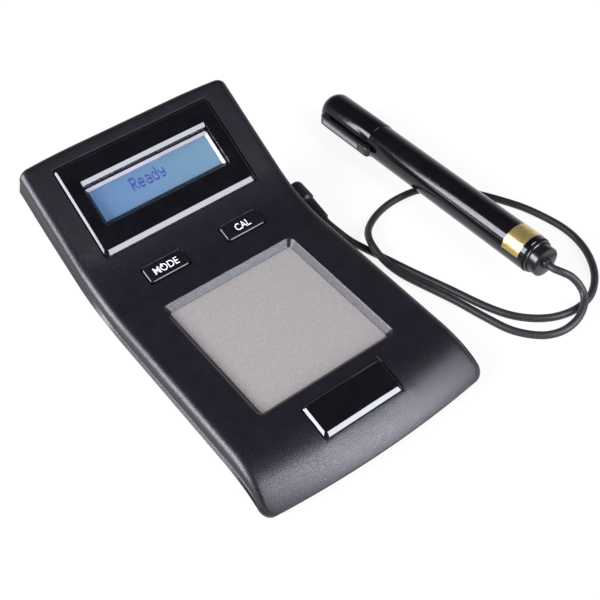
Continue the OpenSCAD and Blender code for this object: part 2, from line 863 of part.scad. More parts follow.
// Boards and wiring
module main_board() {
  color("#1f6b3a") centred()
    difference() {
      translate([0, (main_board_y[0] + main_board_y[1]) / 2, board_z])
        slab(main_board_w, main_board_y[1] - main_board_y[0], board_t, 2);
      both_sides()
        for (p = board_spots)
          translate([p[0], p[1], 0])
            cylinder(d = board_screw_d + 2 * snug, h = 20);
    }
}

module board_chips() {
  color("#111111") centred()
    translate([0, 0, board_top]) {
      translate([-22, -4, 0])
        chip(14, 14, 1.6, 11);
      translate([20, 2, 0])
        chip(5, 8, 1.5, 4);
      translate([20, -38, 0])
        chip(5, 8, 1.5, 4);
    }
}

// A chip with its row of legs down both long sides
module chip(w, l, t, legs) {
  translate([-w / 2, -l / 2, 0.1])
    cube([w, l, t]);
  for (i = [0:legs - 1], side = [-1, 1])
    translate([side * (w / 2 + 0.4) - 0.5, (i - (legs - 1) / 2) * (l - 1) / legs - 0.2, 0])
      cube([1, 0.4, 0.5]);
}

module small_screw(length) {
  translate([0, 0, -small_head_t])
    cylinder(d = small_head_d, h = small_head_t);
  cylinder(d = board_screw_d, h = length);
}

module board_screws() {
  color("silver") centred() {
    both_sides()
      for (p = board_spots)
        translate([p[0], p[1], board_top])
          rotate([180, 0, 0])
            small_screw(board_top - base_z - 1);
    on_display()
      for (x = [-1, 1], y = [-1, 1])
        translate([x * lcd_spots[0], y * lcd_spots[1], lcd_board_top - board_t])
          small_screw(board_t + 3);
    on_keys()
      for (x = [-key_post_x, 0, key_post_x])
        translate([x, 0, key_board_top - board_t])
          small_screw(board_t + 3);
  }
}

// Tube along a route: rings stand square to the path, joined by straight runs
function unit(v) = v / norm(v);
function heading(path, i) = unit(path[min(i + 1, len(path) - 1)] - path[max(i - 1, 0)]);
function ring(p, d, r, sides) = let (
    side = unit(cross(d, abs(d[2]) > 0.9 ? [0, 1, 0] : [0, 0, 1])),
    up = cross(side, d))
  [for (k = [0:sides - 1]) let (a = 360 * (k + 0.5) / sides) p + r * (cos(a) * side + sin(a) * up)];
module tube(path, d, sides = 8) {
  n = len(path);
  points = [for (i = [0:n - 1]) each ring(path[i], heading(path, i), d / 2, sides)];
  skin = [for (i = [0:n - 2], k = [0:sides - 1]) let (
      a = i * sides + k,
      b = i * sides + (k + 1) % sides) each [[a, b, b + sides], [a, b + sides, a + sides]]];
  first = [for (k = [sides - 1:-1:0]) k];
  last = [for (k = [0:sides - 1]) (n - 1) * sides + k];
  polyhedron(points, concat(skin, [first], [last]), convexity = 10);
}

// Smooth route through hand-chosen points
function spline(a, b, c, d, t) = 0.5 * ((2 * b) + (c - a) * t + (2 * a - 5 * b + 4 * c - d) * t * t
  + (3 * b - a - 3 * c + d) * t * t * t);
function smooth(p, steps) = let (n = len(p) - 1) concat(
  [for (i = [0:n - 1], s = [0:steps - 1])
    spline(p[max(i - 1, 0)], p[i], p[i + 1], p[min(i + 2, n)], s / steps)],
  [p[n]]);

// Leads inside the housing: battery to board, keys to board, display to board
module wire_loom() {
  battery_mid = battery_z + battery_t / 2;
  for (i = [0, 1])
    let (start = wire_x + i * 1.6, end = wire_x + 1.4 + i * 2)
      color(i == 0 ? "#b01818" : "#181818") centred()
        tube(smooth([[start, battery_y - battery_w / 2 + 0.25, battery_mid + 2], [start, bay_y[0] - 1, 13.5],
          [end, bay_y[0] - 5, 9.5], [end, bay_y[0] - 6.5, board_top + 2],
          [end, bay_y[0] - 6.5, board_top + snug]], 3), 1.1, 6);
}

// Socket inside the right wall
module probe_socket() {
  color("#2a2a2a") centred()
    difference() {
      union() {
        translate([38.5, jack_y - 4, board_top])
          cube([socket_back - 0.4 - 38.5, 8, 2 * (jack_z - board_top)]);
        translate([socket_back - 0.5, jack_y, jack_z])
          rotate([0, 90, 0])
            cylinder(d = socket_d, h = socket_face - socket_back + 0.3);
      }
      translate([socket_face - pin_l + 0.2, jack_y, jack_z])
        rotate([0, 90, 0])
          cylinder(d = pin_d + 2 * snug, h = pin_l + 2);
    }
}

// Plug: pin, moulded head that turns the cord towards the front, ribbed relief
plug_x = socket_face + 5.9;
head_back = 7.5;
head_front = 5.5;
relief_l = 12.5;
relief_ribs = 6;
module on_plug() {
  translate([plug_x, jack_y, jack_z])
    rotate([plug_tilt, 0, 0])
      children();
}

module plug_pin() {
  color("#c8b070") centred()
    translate([socket_face + fit, jack_y, jack_z])
      rotate([0, -90, 0]) {
        cylinder(d = pin_d, h = pin_l - 1.2 - fit);
        translate([0, 0, pin_l - 1.2 - fit])
          cylinder(d1 = pin_d, d2 = pin_d / 2, h = 1);
      }
}

module plug_body() {
  r = plug_d / 2;
  color("#141416") centred() {
    on_plug()
      rotate([90, 0, 0])
        rotate_extrude()
          polygon(concat([[0, head_front]], [[r - 1, head_front], [r, head_front - 1.6]],
            [for (i = [0:6]) [r * cos(15 * i), -head_back + r * 0.7 - r * 0.7 * sin(15 * i)]]));
    translate([socket_face + fit, jack_y, jack_z])
      rotate([0, 90, 0])
        cylinder(d = plug_neck_d, h = plug_x - socket_face - fit);
  }
}

relief_d = [6.4, 5.4];
module plug_relief() {
  pitch = relief_l / relief_ribs;
  color("#141416") centred()
    on_plug()
      rotate([90, 0, 0])
        rotate_extrude()
          polygon(concat([[0, head_front]],
            [for (i = [0:relief_ribs - 1]) let (r = mix(relief_d[0], relief_d[1], i / (relief_ribs - 1)) / 2,
              z = head_front + i * pitch) each [[r, z], [r, z + pitch * 0.6], [r - 0.6, z + pitch * 0.65],
              [r - 0.6, z + pitch * 0.97]]],
            [[0, head_front + relief_l]]));
}

// Pen: local z runs from the tail end to the cap end
pen_tilt = asin((pen_tail_z - cap_d / 2 - 0.05) / pen_len);
pen_tail = [pen_x, -pen_y, pen_tail_z];
module on_pen() {
  translate(pen_tail)
    rotate([-90 - pen_tilt, 0, pen_yaw])
      children();
}

pen_axis = [-sin(pen_yaw) * cos(pen_tilt), cos(pen_yaw) * cos(pen_tilt), -sin(pen_tilt)];
nub_l = 2;
cord_exit = pen_tail - nub_l * pen_axis;
plug_axis = [0, -cos(plug_tilt), -sin(plug_tilt)];
cord_start = [plug_x, jack_y, jack_z] + (head_front + relief_l) * plug_axis;
lie = cord_d / 2; // height of the cord's middle where it lies on the table

// Route of the cord after the plug and before the pen: a loop that runs under the pen, crosses
// over its own start, and comes back beside it and over the loop to the pen's tail
cord_points = [
  [60.9, 12.5, 5.4], [62.8, 6, 3.2], [65.3, -1, 2], [68.1, -10, lie], [73, -27.5, lie],
  [78.6, -45.5, lie], [84.5, -65, lie], [91, -77.3, lie], [101, -86, lie], [113, -89.5, lie],
  [125, -87.5, lie], [136, -79, lie], [143.5, -66, lie], [146, -51, lie], [143, -33, lie],
  [138, -20, lie], [131, -7, lie], [122, 5, lie], [112, 12.4, lie], [100, 14.5, lie],
  [88.5, 13.3, lie], [78.5, 9, 2.4], [71, 2, 4.8], [66.8, -7, 5.9], [66.2, -17, 4], [68.2, -27, 2.4],
  [72.3, -40, lie], [76.3, -54, lie], [79.2, -67, lie], [83, -80.5, lie], [90.2, -90.4, 1.9],
  [98.5, -94.8, 2.2], [107, -95.2, 3.4], [113.6, -92.8, 5.2], [117.8, -88.9, 7],
  [118.4, -85, 9.9], [116.6, -81.5, 13.4], [113.9, -78.6, 15.6]];
cord_route = concat([cord_start, cord_start + 3 * plug_axis], cord_points,
  [cord_exit - 3 * pen_axis, cord_exit]);
function laid(path) = [for (p = path) [p[0], p[1], max(p[2], lie)]];
module probe_cord() {
  color("#17171a") centred()
    tube(laid(smooth(cord_route, 2)), cord_d);
}

bore_d = barrel_d - 2 * barrel_wall;
collar_l = 2;
barrel_from = tail_l + collar_l;
mouth = pen_len - cap_l;
neck_l = 10;
cap_in_d = cap_d - 2 * cap_wall;
neck_d = cap_in_d - 4 * snug;

module pen_barrel() {
  color("#0c0c0e") centred()
    on_pen()
      difference() {
        union() {
          translate([0, 0, barrel_from])
            cylinder(d = barrel_d, h = mouth - 0.2 - barrel_from);
          translate([0, 0, mouth - 0.3])
            cylinder(d = neck_d, h = neck_l + 0.3);
        }
        translate([0, 0, barrel_from - 1])
          cylinder(d = bore_d, h = mouth - barrel_from + 1);
        translate([0, 0, mouth - 2])
          cylinder(d = neck_d - 2.4, h = neck_l + 4);
      }
}

label_l = 10;
label_gap = 2.2;
label_t = 0.15;
label_arc = 300;
label_turn = -170; // where the label's first edge lies round the barrel
module pen_label() {
  color("#cfb35a") centred()
    on_pen()
      translate([0, 0, barrel_from + label_gap])
        rotate([0, 0, label_turn])
          rotate_extrude(angle = label_arc)
            translate([barrel_d / 2, 0])
              square([label_t, label_l]);
}

module pen_collar() {
  color("#1a1a1d") centred()
    on_pen()
      translate([0, 0, tail_l])
        rotate_extrude()
          polygon([[bore_d / 2, 0], [barrel_d / 2 - 1.2, 0], [barrel_d / 2 - 0.5, 0.7],
            [barrel_d / 2 - 0.5, collar_l - 0.6], [barrel_d / 2 - 0.9, collar_l], [bore_d / 2, collar_l]]);
}

stem_d = bore_d - 2 * snug;
module pen_tail_plug() {
  color("#26262a") centred()
    on_pen()
      difference() {
        rotate_extrude()
          polygon([[0, 0], [tail_d / 2 - 0.4, 0], [tail_d / 2, 0.4], [tail_d / 2, tail_l],
            [stem_d / 2, tail_l], [stem_d / 2, tail_l + 8], [0, tail_l + 8]]);
        translate([0, 0, -1])
          cylinder(d = grommet_d + 2 * snug, h = tail_l + 12);
      }
}

grommet_d = 5.4;
module pen_grommet() {
  color("#101012") centred()
    on_pen()
      rotate_extrude()
        polygon([[0, -nub_l], [2.2, -nub_l], [2.5, -nub_l + 0.5], [grommet_d / 2, 0],
          [grommet_d / 2, tail_l + 6], [0, tail_l + 6]]);
}

module pen_cap() {
  r = cap_d / 2;
  color("#0b0b0d") centred()
    on_pen()
      difference() {
        translate([0, 0, mouth])
          rotate_extrude()
            polygon(concat([[0, 0], [r - 0.3, 0], [r, 0.4]],
              [for (i = [0:6]) [r - 5 + 5 * cos(15 * i), cap_l - 6.3 + 6 * sin(15 * i)]], [[0, cap_l]]));
        translate([0, 0, mouth - 1])
          cylinder(d = cap_in_d, h = cap_l - 5);
      }
}

// Clip: root on the cap's end, a slim arm with a sunk strip, and a ribbed tip
clip_side = 172; // direction round the pen, a little below its left side
clip_stand = 1.8;
clip_t = 2.2;
module pen_clip() {
  from = pen_len - clip_l - 2.5;
  reach = cap_d / 2 + clip_stand;
  color("#0e0e10") centred()
    on_pen()
      difference() {
        rotate([0, 0, clip_side]) {
          difference() {
            translate([reach, -clip_w / 2, from])
              cube([clip_t, clip_w, clip_l]);
            translate([reach + clip_t - 0.6, -clip_w / 2 + 1.3, from + 6])
              cube([2, clip_w - 2.6, clip_l - 12]);
            translate([reach + clip_t, 0, from + clip_l])
              rotate([0, 45, 0])
                cube([2.4, clip_w + 2, 2.4], center = true);
          }
          translate([reach - clip_stand - 1, -clip_w / 2, from + clip_l - 8])
            cube([clip_stand + 1.1, clip_w, 7]);
          translate([reach - 0.9, -clip_w / 2 + 0.4, from])
            cube([1, clip_w - 0.8, 4]);
          for (i = [0:2])
            translate([reach + clip_t - 0.1, -clip_w / 2, from + 0.6 + 1.4 * i])
              cube([0.5, clip_w, 0.7]);
        }
        translate([0, 0, mouth])
          cylinder(d = cap_d, h = cap_l + 1);
      }
}

holder_l = 13;
holder_d = neck_d - 2.4 - 2 * snug;
module pen_nib_holder() {
  color("#2e2e33") centred()
    on_pen()
      translate([0, 0, mouth + neck_l - 6])
        difference() {
          rotate_extrude()
            polygon([[0, 0], [holder_d / 2, 0], [holder_d / 2, 6], [holder_d / 2 - 0.8, 6.4],
              [3.4, holder_l], [0, holder_l]]);
          translate([0, 0, -1])
            cylinder(d = nib_d + 2 * snug, h = holder_l + 2);
        }
}

nib_d = 3.6;
module pen_nib() {
  color("#d8d4c8") centred()
    on_pen()
      translate([0, 0, mouth + neck_l - 8]) {
        cylinder(d = nib_d, h = holder_l + 4);
        translate([0, 0, holder_l + 4])
          cylinder(d1 = nib_d, d2 = nib_d / 2, h = 2);
      }
}

cartridge_d = 11;
module pen_cartridge() {
  color("#c9ccc2") centred()
    on_pen()
      difference() {
        translate([0, 0, tail_l + 8.3])
          cylinder(d = bore_d - 0.4, h = mouth + neck_l - 8.3 - tail_l - 6.3);
        translate([0, 0, mouth - 2.5])
          difference() {
            cylinder(d = barrel_d, h = neck_l + 4);
            translate([0, 0, -1])
              cylinder(d = cartridge_d, h = neck_l + 6);
          }
        translate([0, 0, mouth + neck_l - 8])
          cylinder(d = nib_d + 2 * snug, h = 10);
      }
}

top_shell();
bottom_shell();
battery_door();
battery();
battery_snap();
rubber_feet();
housing_screws();
display_panel();
display_lens();
lcd_frame();
lcd_glass();
lcd_board();
mode_key();
cal_key();
mode_plunger();
cal_plunger();
key_switches();
key_board();
test_plate();
plate_contact();
badge_plate();
main_board();
board_chips();
board_screws();
wire_loom();
probe_socket();
plug_pin();
plug_body();
plug_relief();
probe_cord();
pen_barrel();
pen_label();
pen_collar();
pen_tail_plug();
pen_grommet();
pen_cap();
pen_clip();
pen_nib_holder();
pen_nib();
pen_cartridge();
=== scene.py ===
import math

import bmesh
import bpy
import numpy as np
from mathutils import Matrix, Vector


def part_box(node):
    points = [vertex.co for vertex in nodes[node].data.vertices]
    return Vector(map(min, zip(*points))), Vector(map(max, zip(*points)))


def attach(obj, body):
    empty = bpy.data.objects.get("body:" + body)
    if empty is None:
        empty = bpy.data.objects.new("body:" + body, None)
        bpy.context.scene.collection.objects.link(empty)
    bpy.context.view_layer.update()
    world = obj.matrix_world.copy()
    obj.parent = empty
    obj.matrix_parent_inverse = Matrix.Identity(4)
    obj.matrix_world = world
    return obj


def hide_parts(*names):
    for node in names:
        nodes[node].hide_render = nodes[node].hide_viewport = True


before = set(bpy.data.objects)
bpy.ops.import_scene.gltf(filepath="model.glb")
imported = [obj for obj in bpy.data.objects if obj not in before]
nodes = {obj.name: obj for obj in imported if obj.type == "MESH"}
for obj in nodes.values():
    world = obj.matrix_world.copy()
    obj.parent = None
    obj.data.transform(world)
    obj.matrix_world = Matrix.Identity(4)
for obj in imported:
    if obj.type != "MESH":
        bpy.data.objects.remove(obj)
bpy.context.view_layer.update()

mm = 0.001

# the housing is symmetrical about its own middle line, which lies left of the origin
shellLow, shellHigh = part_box("top_shell")
middleX = (shellLow.x + shellHigh.x) / 2

photoCamera = {
    "place": (-0.16038, -0.28065, 0.36036),  # metres, from the housing's middle line
    "azimuth": -33.98,
    "elevation": 47.56,
    "roll": -3.93,
    "lens": 65.18,
    "sensor": 36.0,
}


def putIn(thing):
    bpy.context.scene.collection.objects.link(thing)
    return thing


def makeCamera(values):
    azimuth, elevation, roll = (math.radians(values[key]) for key in ("azimuth", "elevation", "roll"))
    level = math.cos(elevation)
    back = Vector((math.sin(azimuth) * level, -math.cos(azimuth) * level, math.sin(elevation)))
    right = (-back).cross(Vector((0, 0, 1))).normalized()
    up = right.cross(-back)
    turnedRight = math.cos(roll) * right + math.sin(roll) * up
    turnedUp = math.cos(roll) * up - math.sin(roll) * right
    lens = bpy.data.cameras.new("photoCamera")
    lens.lens = values["lens"]
    lens.sensor_width = values["sensor"]
    camera = putIn(bpy.data.objects.new("photoCamera", lens))
    turn = Matrix((turnedRight, turnedUp, back)).transposed().to_4x4()
    place = Vector(values["place"]) + Vector((middleX, 0, 0))
    camera.matrix_world = Matrix.Translation(place) @ turn
    bpy.context.scene.camera = camera


makeCamera(photoCamera)
bpy.context.scene.view_settings.view_transform = "Standard"
print("camera in place")


# node building, shared by the finishes, the floor and the sky
def setSockets(tree, node, entries):
    # gives a node's sockets their values, and links those whose value is another node's socket
    for socket, value in entries.items():
        if isinstance(value, bpy.types.NodeSocket):
            tree.links.new(value, node.inputs[socket])
        else:
            node.inputs[socket].default_value = value


def addNode(tree, kind, entries=None, **settings):
    node = tree.nodes.new("ShaderNode" + kind)
    for setting, value in settings.items():
        setattr(node, setting, value)
    setSockets(tree, node, entries or {})
    return node


def mixNode(tree, factor, *colours):
    # the mix node's colour sockets have the numbers 6 and 7, and its colour result has 2
    first, second = (c if isinstance(c, bpy.types.NodeSocket) else (*c, 1) for c in colours)
    return addNode(tree, "Mix", {0: factor, 6: first, 7: second}, data_type="RGBA").outputs[2]


def rampNode(tree, source, fromSpan, toSpan=(0, 1)):
    spans = {"From Min": fromSpan[0], "From Max": fromSpan[1], "To Min": toSpan[0], "To Max": toSpan[1]}
    return addNode(tree, "MapRange", {"Value": source, **spans}).outputs["Result"]


def placeNode(tree, space, axis):
    place = addNode(tree, "TexCoord").outputs[space]
    return addNode(tree, "SeparateXYZ", {0: place}).outputs[axis]


def noiseNode(tree, size, detail):
    place = addNode(tree, "TexCoord").outputs["Object"]
    noise = addNode(tree, "TexNoise", {"Vector": place, "Scale": 1 / (size * mm), "Detail": detail})
    return noise.outputs["Fac"]


def sweepNode(tree, span):
    # from one colour to the other across the piece, in millimetres from the housing's middle line
    return rampNode(tree, placeNode(tree, "Object", "X"), [edge * mm + middleX for edge in span])


# finishes: every colour, roughness and grain varies over the surface
noiseSpan = (0.35, 0.65)  # most of a noise texture's values lie in here
# what a finish has unless its own values say otherwise; patch, grain and relief in millimetres
plainFinish = {"rough": (0.4, 0.5), "patch": 9, "grain": 0.4, "bump": 0.15, "relief": 0.02,
               "metal": 0, "specular": 0.5, "clear": 0, "alpha": 1}


def makeFinish(name, values):
    finish = bpy.data.materials.new(name)
    finish.use_nodes = True
    tree = finish.node_tree
    values = {**plainFinish, **values}
    if "sweep" in values:
        patches = sweepNode(tree, values["sweep"])
    else:
        patches = rampNode(tree, noiseNode(tree, values["patch"], 3), noiseSpan)
    grain = noiseNode(tree, values["grain"], 2)
    bump = addNode(tree, "Bump", {"Strength": values["bump"], "Distance": values["relief"] * mm,
                                  "Height": grain})
    setSockets(tree, tree.nodes["Principled BSDF"], {
        "Base Color": mixNode(tree, patches, *values["colours"]),
        "Roughness": rampNode(tree, grain, noiseSpan, values["rough"]),
        "Metallic": values["metal"], "Specular IOR Level": values["specular"],
        "Transmission Weight": values["clear"], "Alpha": values["alpha"], "Normal": bump.outputs["Normal"]})
    return finish


finishValues = {
    "caseBlack": {"colours": ((0.005, 0.0045, 0.0068), (0.0068, 0.0061, 0.0092)), "rough": (0.28, 0.46),
        "grain": 0.45, "bump": 0.8, "relief": 0.06},
    "hullBlack": {"colours": ((0.006, 0.0056, 0.008), (0.008, 0.0075, 0.0105)), "rough": (0.42, 0.52),
        "bump": 0.5, "relief": 0.03},
    "panelBlack": {"colours": ((0.0035, 0.0033, 0.0045), (0.005, 0.0047, 0.0065)), "rough": (0.09, 0.15),
        "specular": 0.55, "grain": 3, "bump": 0.05, "relief": 0.01},
    "lensClear": {"colours": ((0.02, 0.022, 0.025), (0.025, 0.027, 0.03)), "rough": (0.04, 0.07), "alpha": 0.1,
        "bump": 0.02, "relief": 0.005, "grain": 5},
    "frameBlack": {"colours": ((0.006, 0.006, 0.008), (0.009, 0.009, 0.0115)), "rough": (0.25, 0.35),
        "bump": 0.05},
    "wordWhite": {"colours": ((0.72, 0.72, 0.74), (0.8, 0.8, 0.82)), "bump": 0.05},
    # painted highlight: light grey for the bezel's window slopes that face the lamps
    "paintedWindowHighlight": {"colours": ((0.55, 0.55, 0.6), (0.66, 0.66, 0.72)), "rough": (0.2, 0.3), "bump": 0.05},
    # painted highlight: grey that stands for the light reflected along the clip's outer face
    "paintedClipHighlight": {"colours": ((0.2, 0.2, 0.21), (0.28, 0.28, 0.29)), "rough": (0.3, 0.4), "patch": 1.2},
    "dotBlue": {"colours": ((0.03, 0.045, 0.3), (0.045, 0.065, 0.36)), "bump": 0.05},
    "boardGreen": {"colours": ((0.012, 0.11, 0.04), (0.02, 0.16, 0.06)), "rough": (0.35, 0.5), "patch": 4},
    "keyBlack": {"colours": ((0.005, 0.0048, 0.0065), (0.0065, 0.0062, 0.0085)), "rough": (0.22, 0.3),
        "grain": 0.5},
    "plungerGrey": {"colours": ((0.25, 0.25, 0.26), (0.3, 0.3, 0.31))},
    "switchDark": {"colours": ((0.09, 0.09, 0.1), (0.12, 0.12, 0.13))},
    "plateMetal": {"colours": ((0.325, 0.308, 0.285), (0.42, 0.4, 0.37)), "rough": (0.38, 0.55), "metal": 0.35,
        "patch": 0.4, "grain": 0.3, "bump": 0.6, "relief": 0.04},
    "brass": {"colours": ((0.55, 0.38, 0.12), (0.65, 0.47, 0.18)), "rough": (0.25, 0.35), "metal": 1},
    "badgeBlack": {"colours": ((0.0035, 0.0035, 0.0045), (0.005, 0.005, 0.0065)), "rough": (0.08, 0.14),
        "specular": 0.7, "grain": 3, "bump": 0.05, "relief": 0.01},
    "chipBlack": {"colours": ((0.01, 0.01, 0.01), (0.016, 0.016, 0.016)), "rough": (0.5, 0.6)},
    "steel": {"colours": ((0.45, 0.45, 0.46), (0.55, 0.55, 0.56)), "rough": (0.25, 0.4), "metal": 1},
    "wireRed": {"colours": ((0.4, 0.01, 0.01), (0.5, 0.02, 0.015)), "rough": (0.35, 0.45)},
    "rubberBlack": {"colours": ((0.012, 0.012, 0.012), (0.02, 0.02, 0.02)), "rough": (0.65, 0.8),
        "bump": 0.5, "relief": 0.04},
    "batterySkin": {"colours": ((0.28, 0.19, 0.04), (0.34, 0.24, 0.06)), "rough": (0.3, 0.4), "metal": 0.3},
    "snapBlack": {"colours": ((0.012, 0.012, 0.012), (0.018, 0.018, 0.018)), "rough": (0.5, 0.6)},
    "socketBlack": {"colours": ((0.014, 0.014, 0.016), (0.02, 0.02, 0.022))},
    "plugBlack": {"colours": ((0.009, 0.009, 0.011), (0.013, 0.013, 0.016)), "bump": 0.3, "relief": 0.03},
    "cordBlack": {"colours": ((0.012, 0.012, 0.0135), (0.017, 0.017, 0.019)), "rough": (0.42, 0.54),
        "bump": 0.3, "relief": 0.03},
    "penBlack": {"colours": ((0.0035, 0.0032, 0.0045), (0.005, 0.0047, 0.0065)), "rough": (0.1, 0.16),
        "specular": 0.36, "grain": 2, "bump": 0.05, "relief": 0.01},
    "labelGold": {"colours": ((0.56, 0.43, 0.15), (0.66, 0.54, 0.23)), "rough": (0.22, 0.32), "metal": 0.8,
        "patch": 3, "bump": 0.05},
    "tailGrey": {"colours": ((0.006, 0.006, 0.0075), (0.009, 0.009, 0.011)), "rough": (0.18, 0.26)},
    "clipBlack": {"colours": ((0.006, 0.006, 0.0075), (0.009, 0.009, 0.011)), "rough": (0.14, 0.22)},
    "nibWhite": {"colours": ((0.6, 0.57, 0.5), (0.7, 0.67, 0.6)), "rough": (0.6, 0.8)},
    "holderGrey": {"colours": ((0.025, 0.025, 0.03), (0.035, 0.035, 0.04)), "rough": (0.35, 0.45)},
    "cartridgeClear": {"colours": ((0.5, 0.52, 0.46), (0.6, 0.62, 0.55)), "rough": (0.2, 0.3), "clear": 0.4},
    "lcdBlue": {"colours": ((0.135, 0.26, 0.45), (0.185, 0.33, 0.42)), "rough": (0.25, 0.35),
        "sweep": (-32, 34)},
}
finishes = {name: makeFinish(name, values) for name, values in finishValues.items()}
print("finishes made:", len(finishes))


# meshes are worked out in millimetres in the housing's own frame, then set in the shared frame
def toRow(points):
    return np.asarray(points, float) * mm + np.array((middleX, 0, 0))


# weld and speck in millimetres; the others are the angles from which an edge is drawn sharp, in degrees
meshCare = {"weld": 0.002, "speck": 0.001, "soft": 32, "ribbed": 20, "crisp": 14}


def dress(piece, body, slotName, *replaced):
    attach(piece, body)
    if replaced:
        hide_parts(*replaced)
    return piece


def makePiece(name, points, faces, finishName, body, slotName, *replaced, edges="soft"):
    mesh = bpy.data.meshes.new(name)
    mesh.from_pydata(toRow(points).tolist(), [], faces)
    tidy = bmesh.new()
    tidy.from_mesh(mesh)
    bmesh.ops.remove_doubles(tidy, verts=tidy.verts, dist=meshCare["weld"] * mm)
    bmesh.ops.dissolve_degenerate(tidy, dist=meshCare["speck"] * mm, edges=tidy.edges)
    bmesh.ops.recalc_face_normals(tidy, faces=tidy.faces)
    tidy.to_mesh(mesh)
    tidy.free()
    mesh.polygons.foreach_set("use_smooth", [True] * len(mesh.polygons))
    mesh.set_sharp_from_angle(angle=math.radians(meshCare[edges]))
    mesh.materials.append(finishes[finishName])
    return dress(putIn(bpy.data.objects.new(name, mesh)), body, slotName, *replaced)


# probe cord, from the pen's tail to the plug, in metres
probeCord = {
    "diameter": 0.0035,
    "length": 0.4585,
    "steps": 8,
    "plugEnd": (0.0598, 0.02077, 0.00737),
    "plugRun": (0.0, -0.9848, -0.1736),
    "penEnd": (0.11217, -0.0720, 0.01599),
    "penRun": (0.0129, 0.9989, -0.04455),
    "straight": 0.003,
    "roundness": 5,
}
# a point without a height lies on the table
cordPoints = [
    (0.0609, 0.0125, 0.0054), (0.0628, 0.006, 0.0032), (0.0653, -0.001, 0.002), (0.0681, -0.010),
    (0.073, -0.0275), (0.0786, -0.0455), (0.0845, -0.065), (0.091, -0.0773), (0.101, -0.086),
    (0.113, -0.0895), (0.125, -0.0875), (0.136, -0.079), (0.1435, -0.066), (0.146, -0.051), (0.143, -0.033),
    (0.138, -0.020), (0.131, -0.007), (0.122, 0.005), (0.112, 0.0124), (0.100, 0.0145), (0.0885, 0.0133),
    (0.0785, 0.009, 0.0024), (0.071, 0.002, 0.0048), (0.0668, -0.007, 0.0059), (0.0662, -0.017, 0.004),
    (0.0682, -0.027, 0.0024), (0.0723, -0.040), (0.0763, -0.054), (0.0792, -0.067), (0.083, -0.0805),
    (0.0902, -0.0904, 0.0019), (0.0985, -0.0948, 0.0022), (0.107, -0.0952, 0.0034),
    (0.1136, -0.0928, 0.0052), (0.1178, -0.0889, 0.007), (0.1184, -0.085, 0.0099),
    (0.1166, -0.0815, 0.0134), (0.1139, -0.0786, 0.0156),
]


def smoothRoute(points, steps):
    points = [Vector(p) for p in points]
    last = len(points) - 1
    line = []
    for i in range(last):
        a, b, c, d = (points[min(max(i + k, 0), last)] for k in (-1, 0, 1, 2))
        for step in range(steps):
            t = step / steps
            line.append(0.5 * (2 * b + (c - a) * t + (2 * a - 5 * b + 4 * c - d) * t ** 2
                               + (3 * b - a - 3 * c + d) * t ** 3))
    return line + [points[last]]


def makeCord(values, points):
    radius = values["diameter"] / 2
    plugEnd, penEnd = Vector(values["plugEnd"]), Vector(values["penEnd"])
    points = [point if len(point) == 3 else (*point, radius) for point in points]
    route = [plugEnd, plugEnd + values["straight"] * Vector(values["plugRun"]), *points,
             penEnd - values["straight"] * Vector(values["penRun"]), penEnd]
    line = smoothRoute(route, values["steps"])
    line.reverse()
    curve = bpy.data.curves.new("probeCord", "CURVE")
    curve.dimensions = "3D"
    curve.bevel_depth = radius
    curve.bevel_resolution = values["roundness"]
    curve.use_fill_caps = True
    spline = curve.splines.new("POLY")
    spline.points.add(len(line) - 1)
    for point, spot in zip(spline.points, line):
        point.co = (spot.x + middleX, spot.y, max(spot.z, radius), 1)
    spline.use_smooth = True
    curve.materials.append(finishes["cordBlack"])
    piece = putIn(bpy.data.objects.new("probeCord", curve))
    dress(piece, "probe", "cord_black", "probe_cord")


makeCord(probeCord, cordPoints)
print("cord laid")


# top shell: one skin laid along the side profile, with its recesses pressed in
hair = 1e-9  # shorter than this counts as no length
caseShape = {
    "width": 112, "length": 190.5, "deck": 18, "slope": 31.5, "slopeFoot": 31.9, "waveRadius": 70,
    "noseRadius": 34, "noseDrop": 13.6, "crestRadius": 4, "noseBow": 3.4, "backBow": 1.4, "backPull": 1.15,
    "lipMid": 5.6, "lipBack": 9.6, "lipNose": 1.4, "lipLean": 1.4, "frontCorner": 4, "backCorner": 4.5,
    "leanOver": 2, "edge": 4.6, "edgeBreak": 0.3, "bowStart": 40, "backStart": 86, "backFlat": 25,
    "noseReach": 25, "lipRamp": (20, 70), "skin": 2.0,
}
# the skin's mesh: its lines and the gaps between them in millimetres, and shares of the side's height
profilePoints = {"lip": 40, "nose": 1500, "bend": 1900, "crest": 800, "back": 200}
skinLines = {
    "columns": 45, "columnGap": 0.7, "steady": 42.5,
    "rowStep": 2.6, "rowGap": 0.2, "firstRow": 1.5, "lastRow": 15,
    "tipRows": (0.12, 0.35, 0.7, 1.1, 1.6, 2.2, 3, 4, 5, 6.2, 7.5), "crestArc": 8.48, "crestRows": 17,
    "backWall": 5.6, "filletTurns": 9, "filletShare": 0.82, "sideRows": (0.33, 0.66, 1), "breakShare": 0.4,
    "noseZone": -60,
}
halfLength = caseShape["length"] / 2
halfWidth = caseShape["width"] / 2
displaySlope = math.radians(caseShape["slope"])
noseAngle = math.acos(1 - caseShape["noseDrop"] / caseShape["noseRadius"])
noseStart = -halfLength + caseShape["noseRadius"] * math.sin(noseAngle)
bendStart = caseShape["slopeFoot"] - caseShape["waveRadius"] * math.tan(displaySlope / 2)
crestY = halfLength - caseShape["crestRadius"]
crestZ = (caseShape["deck"] + math.tan(displaySlope) * (crestY - caseShape["slopeFoot"])
          - caseShape["crestRadius"] / math.cos(displaySlope))
crestTop = crestZ + caseShape["crestRadius"]


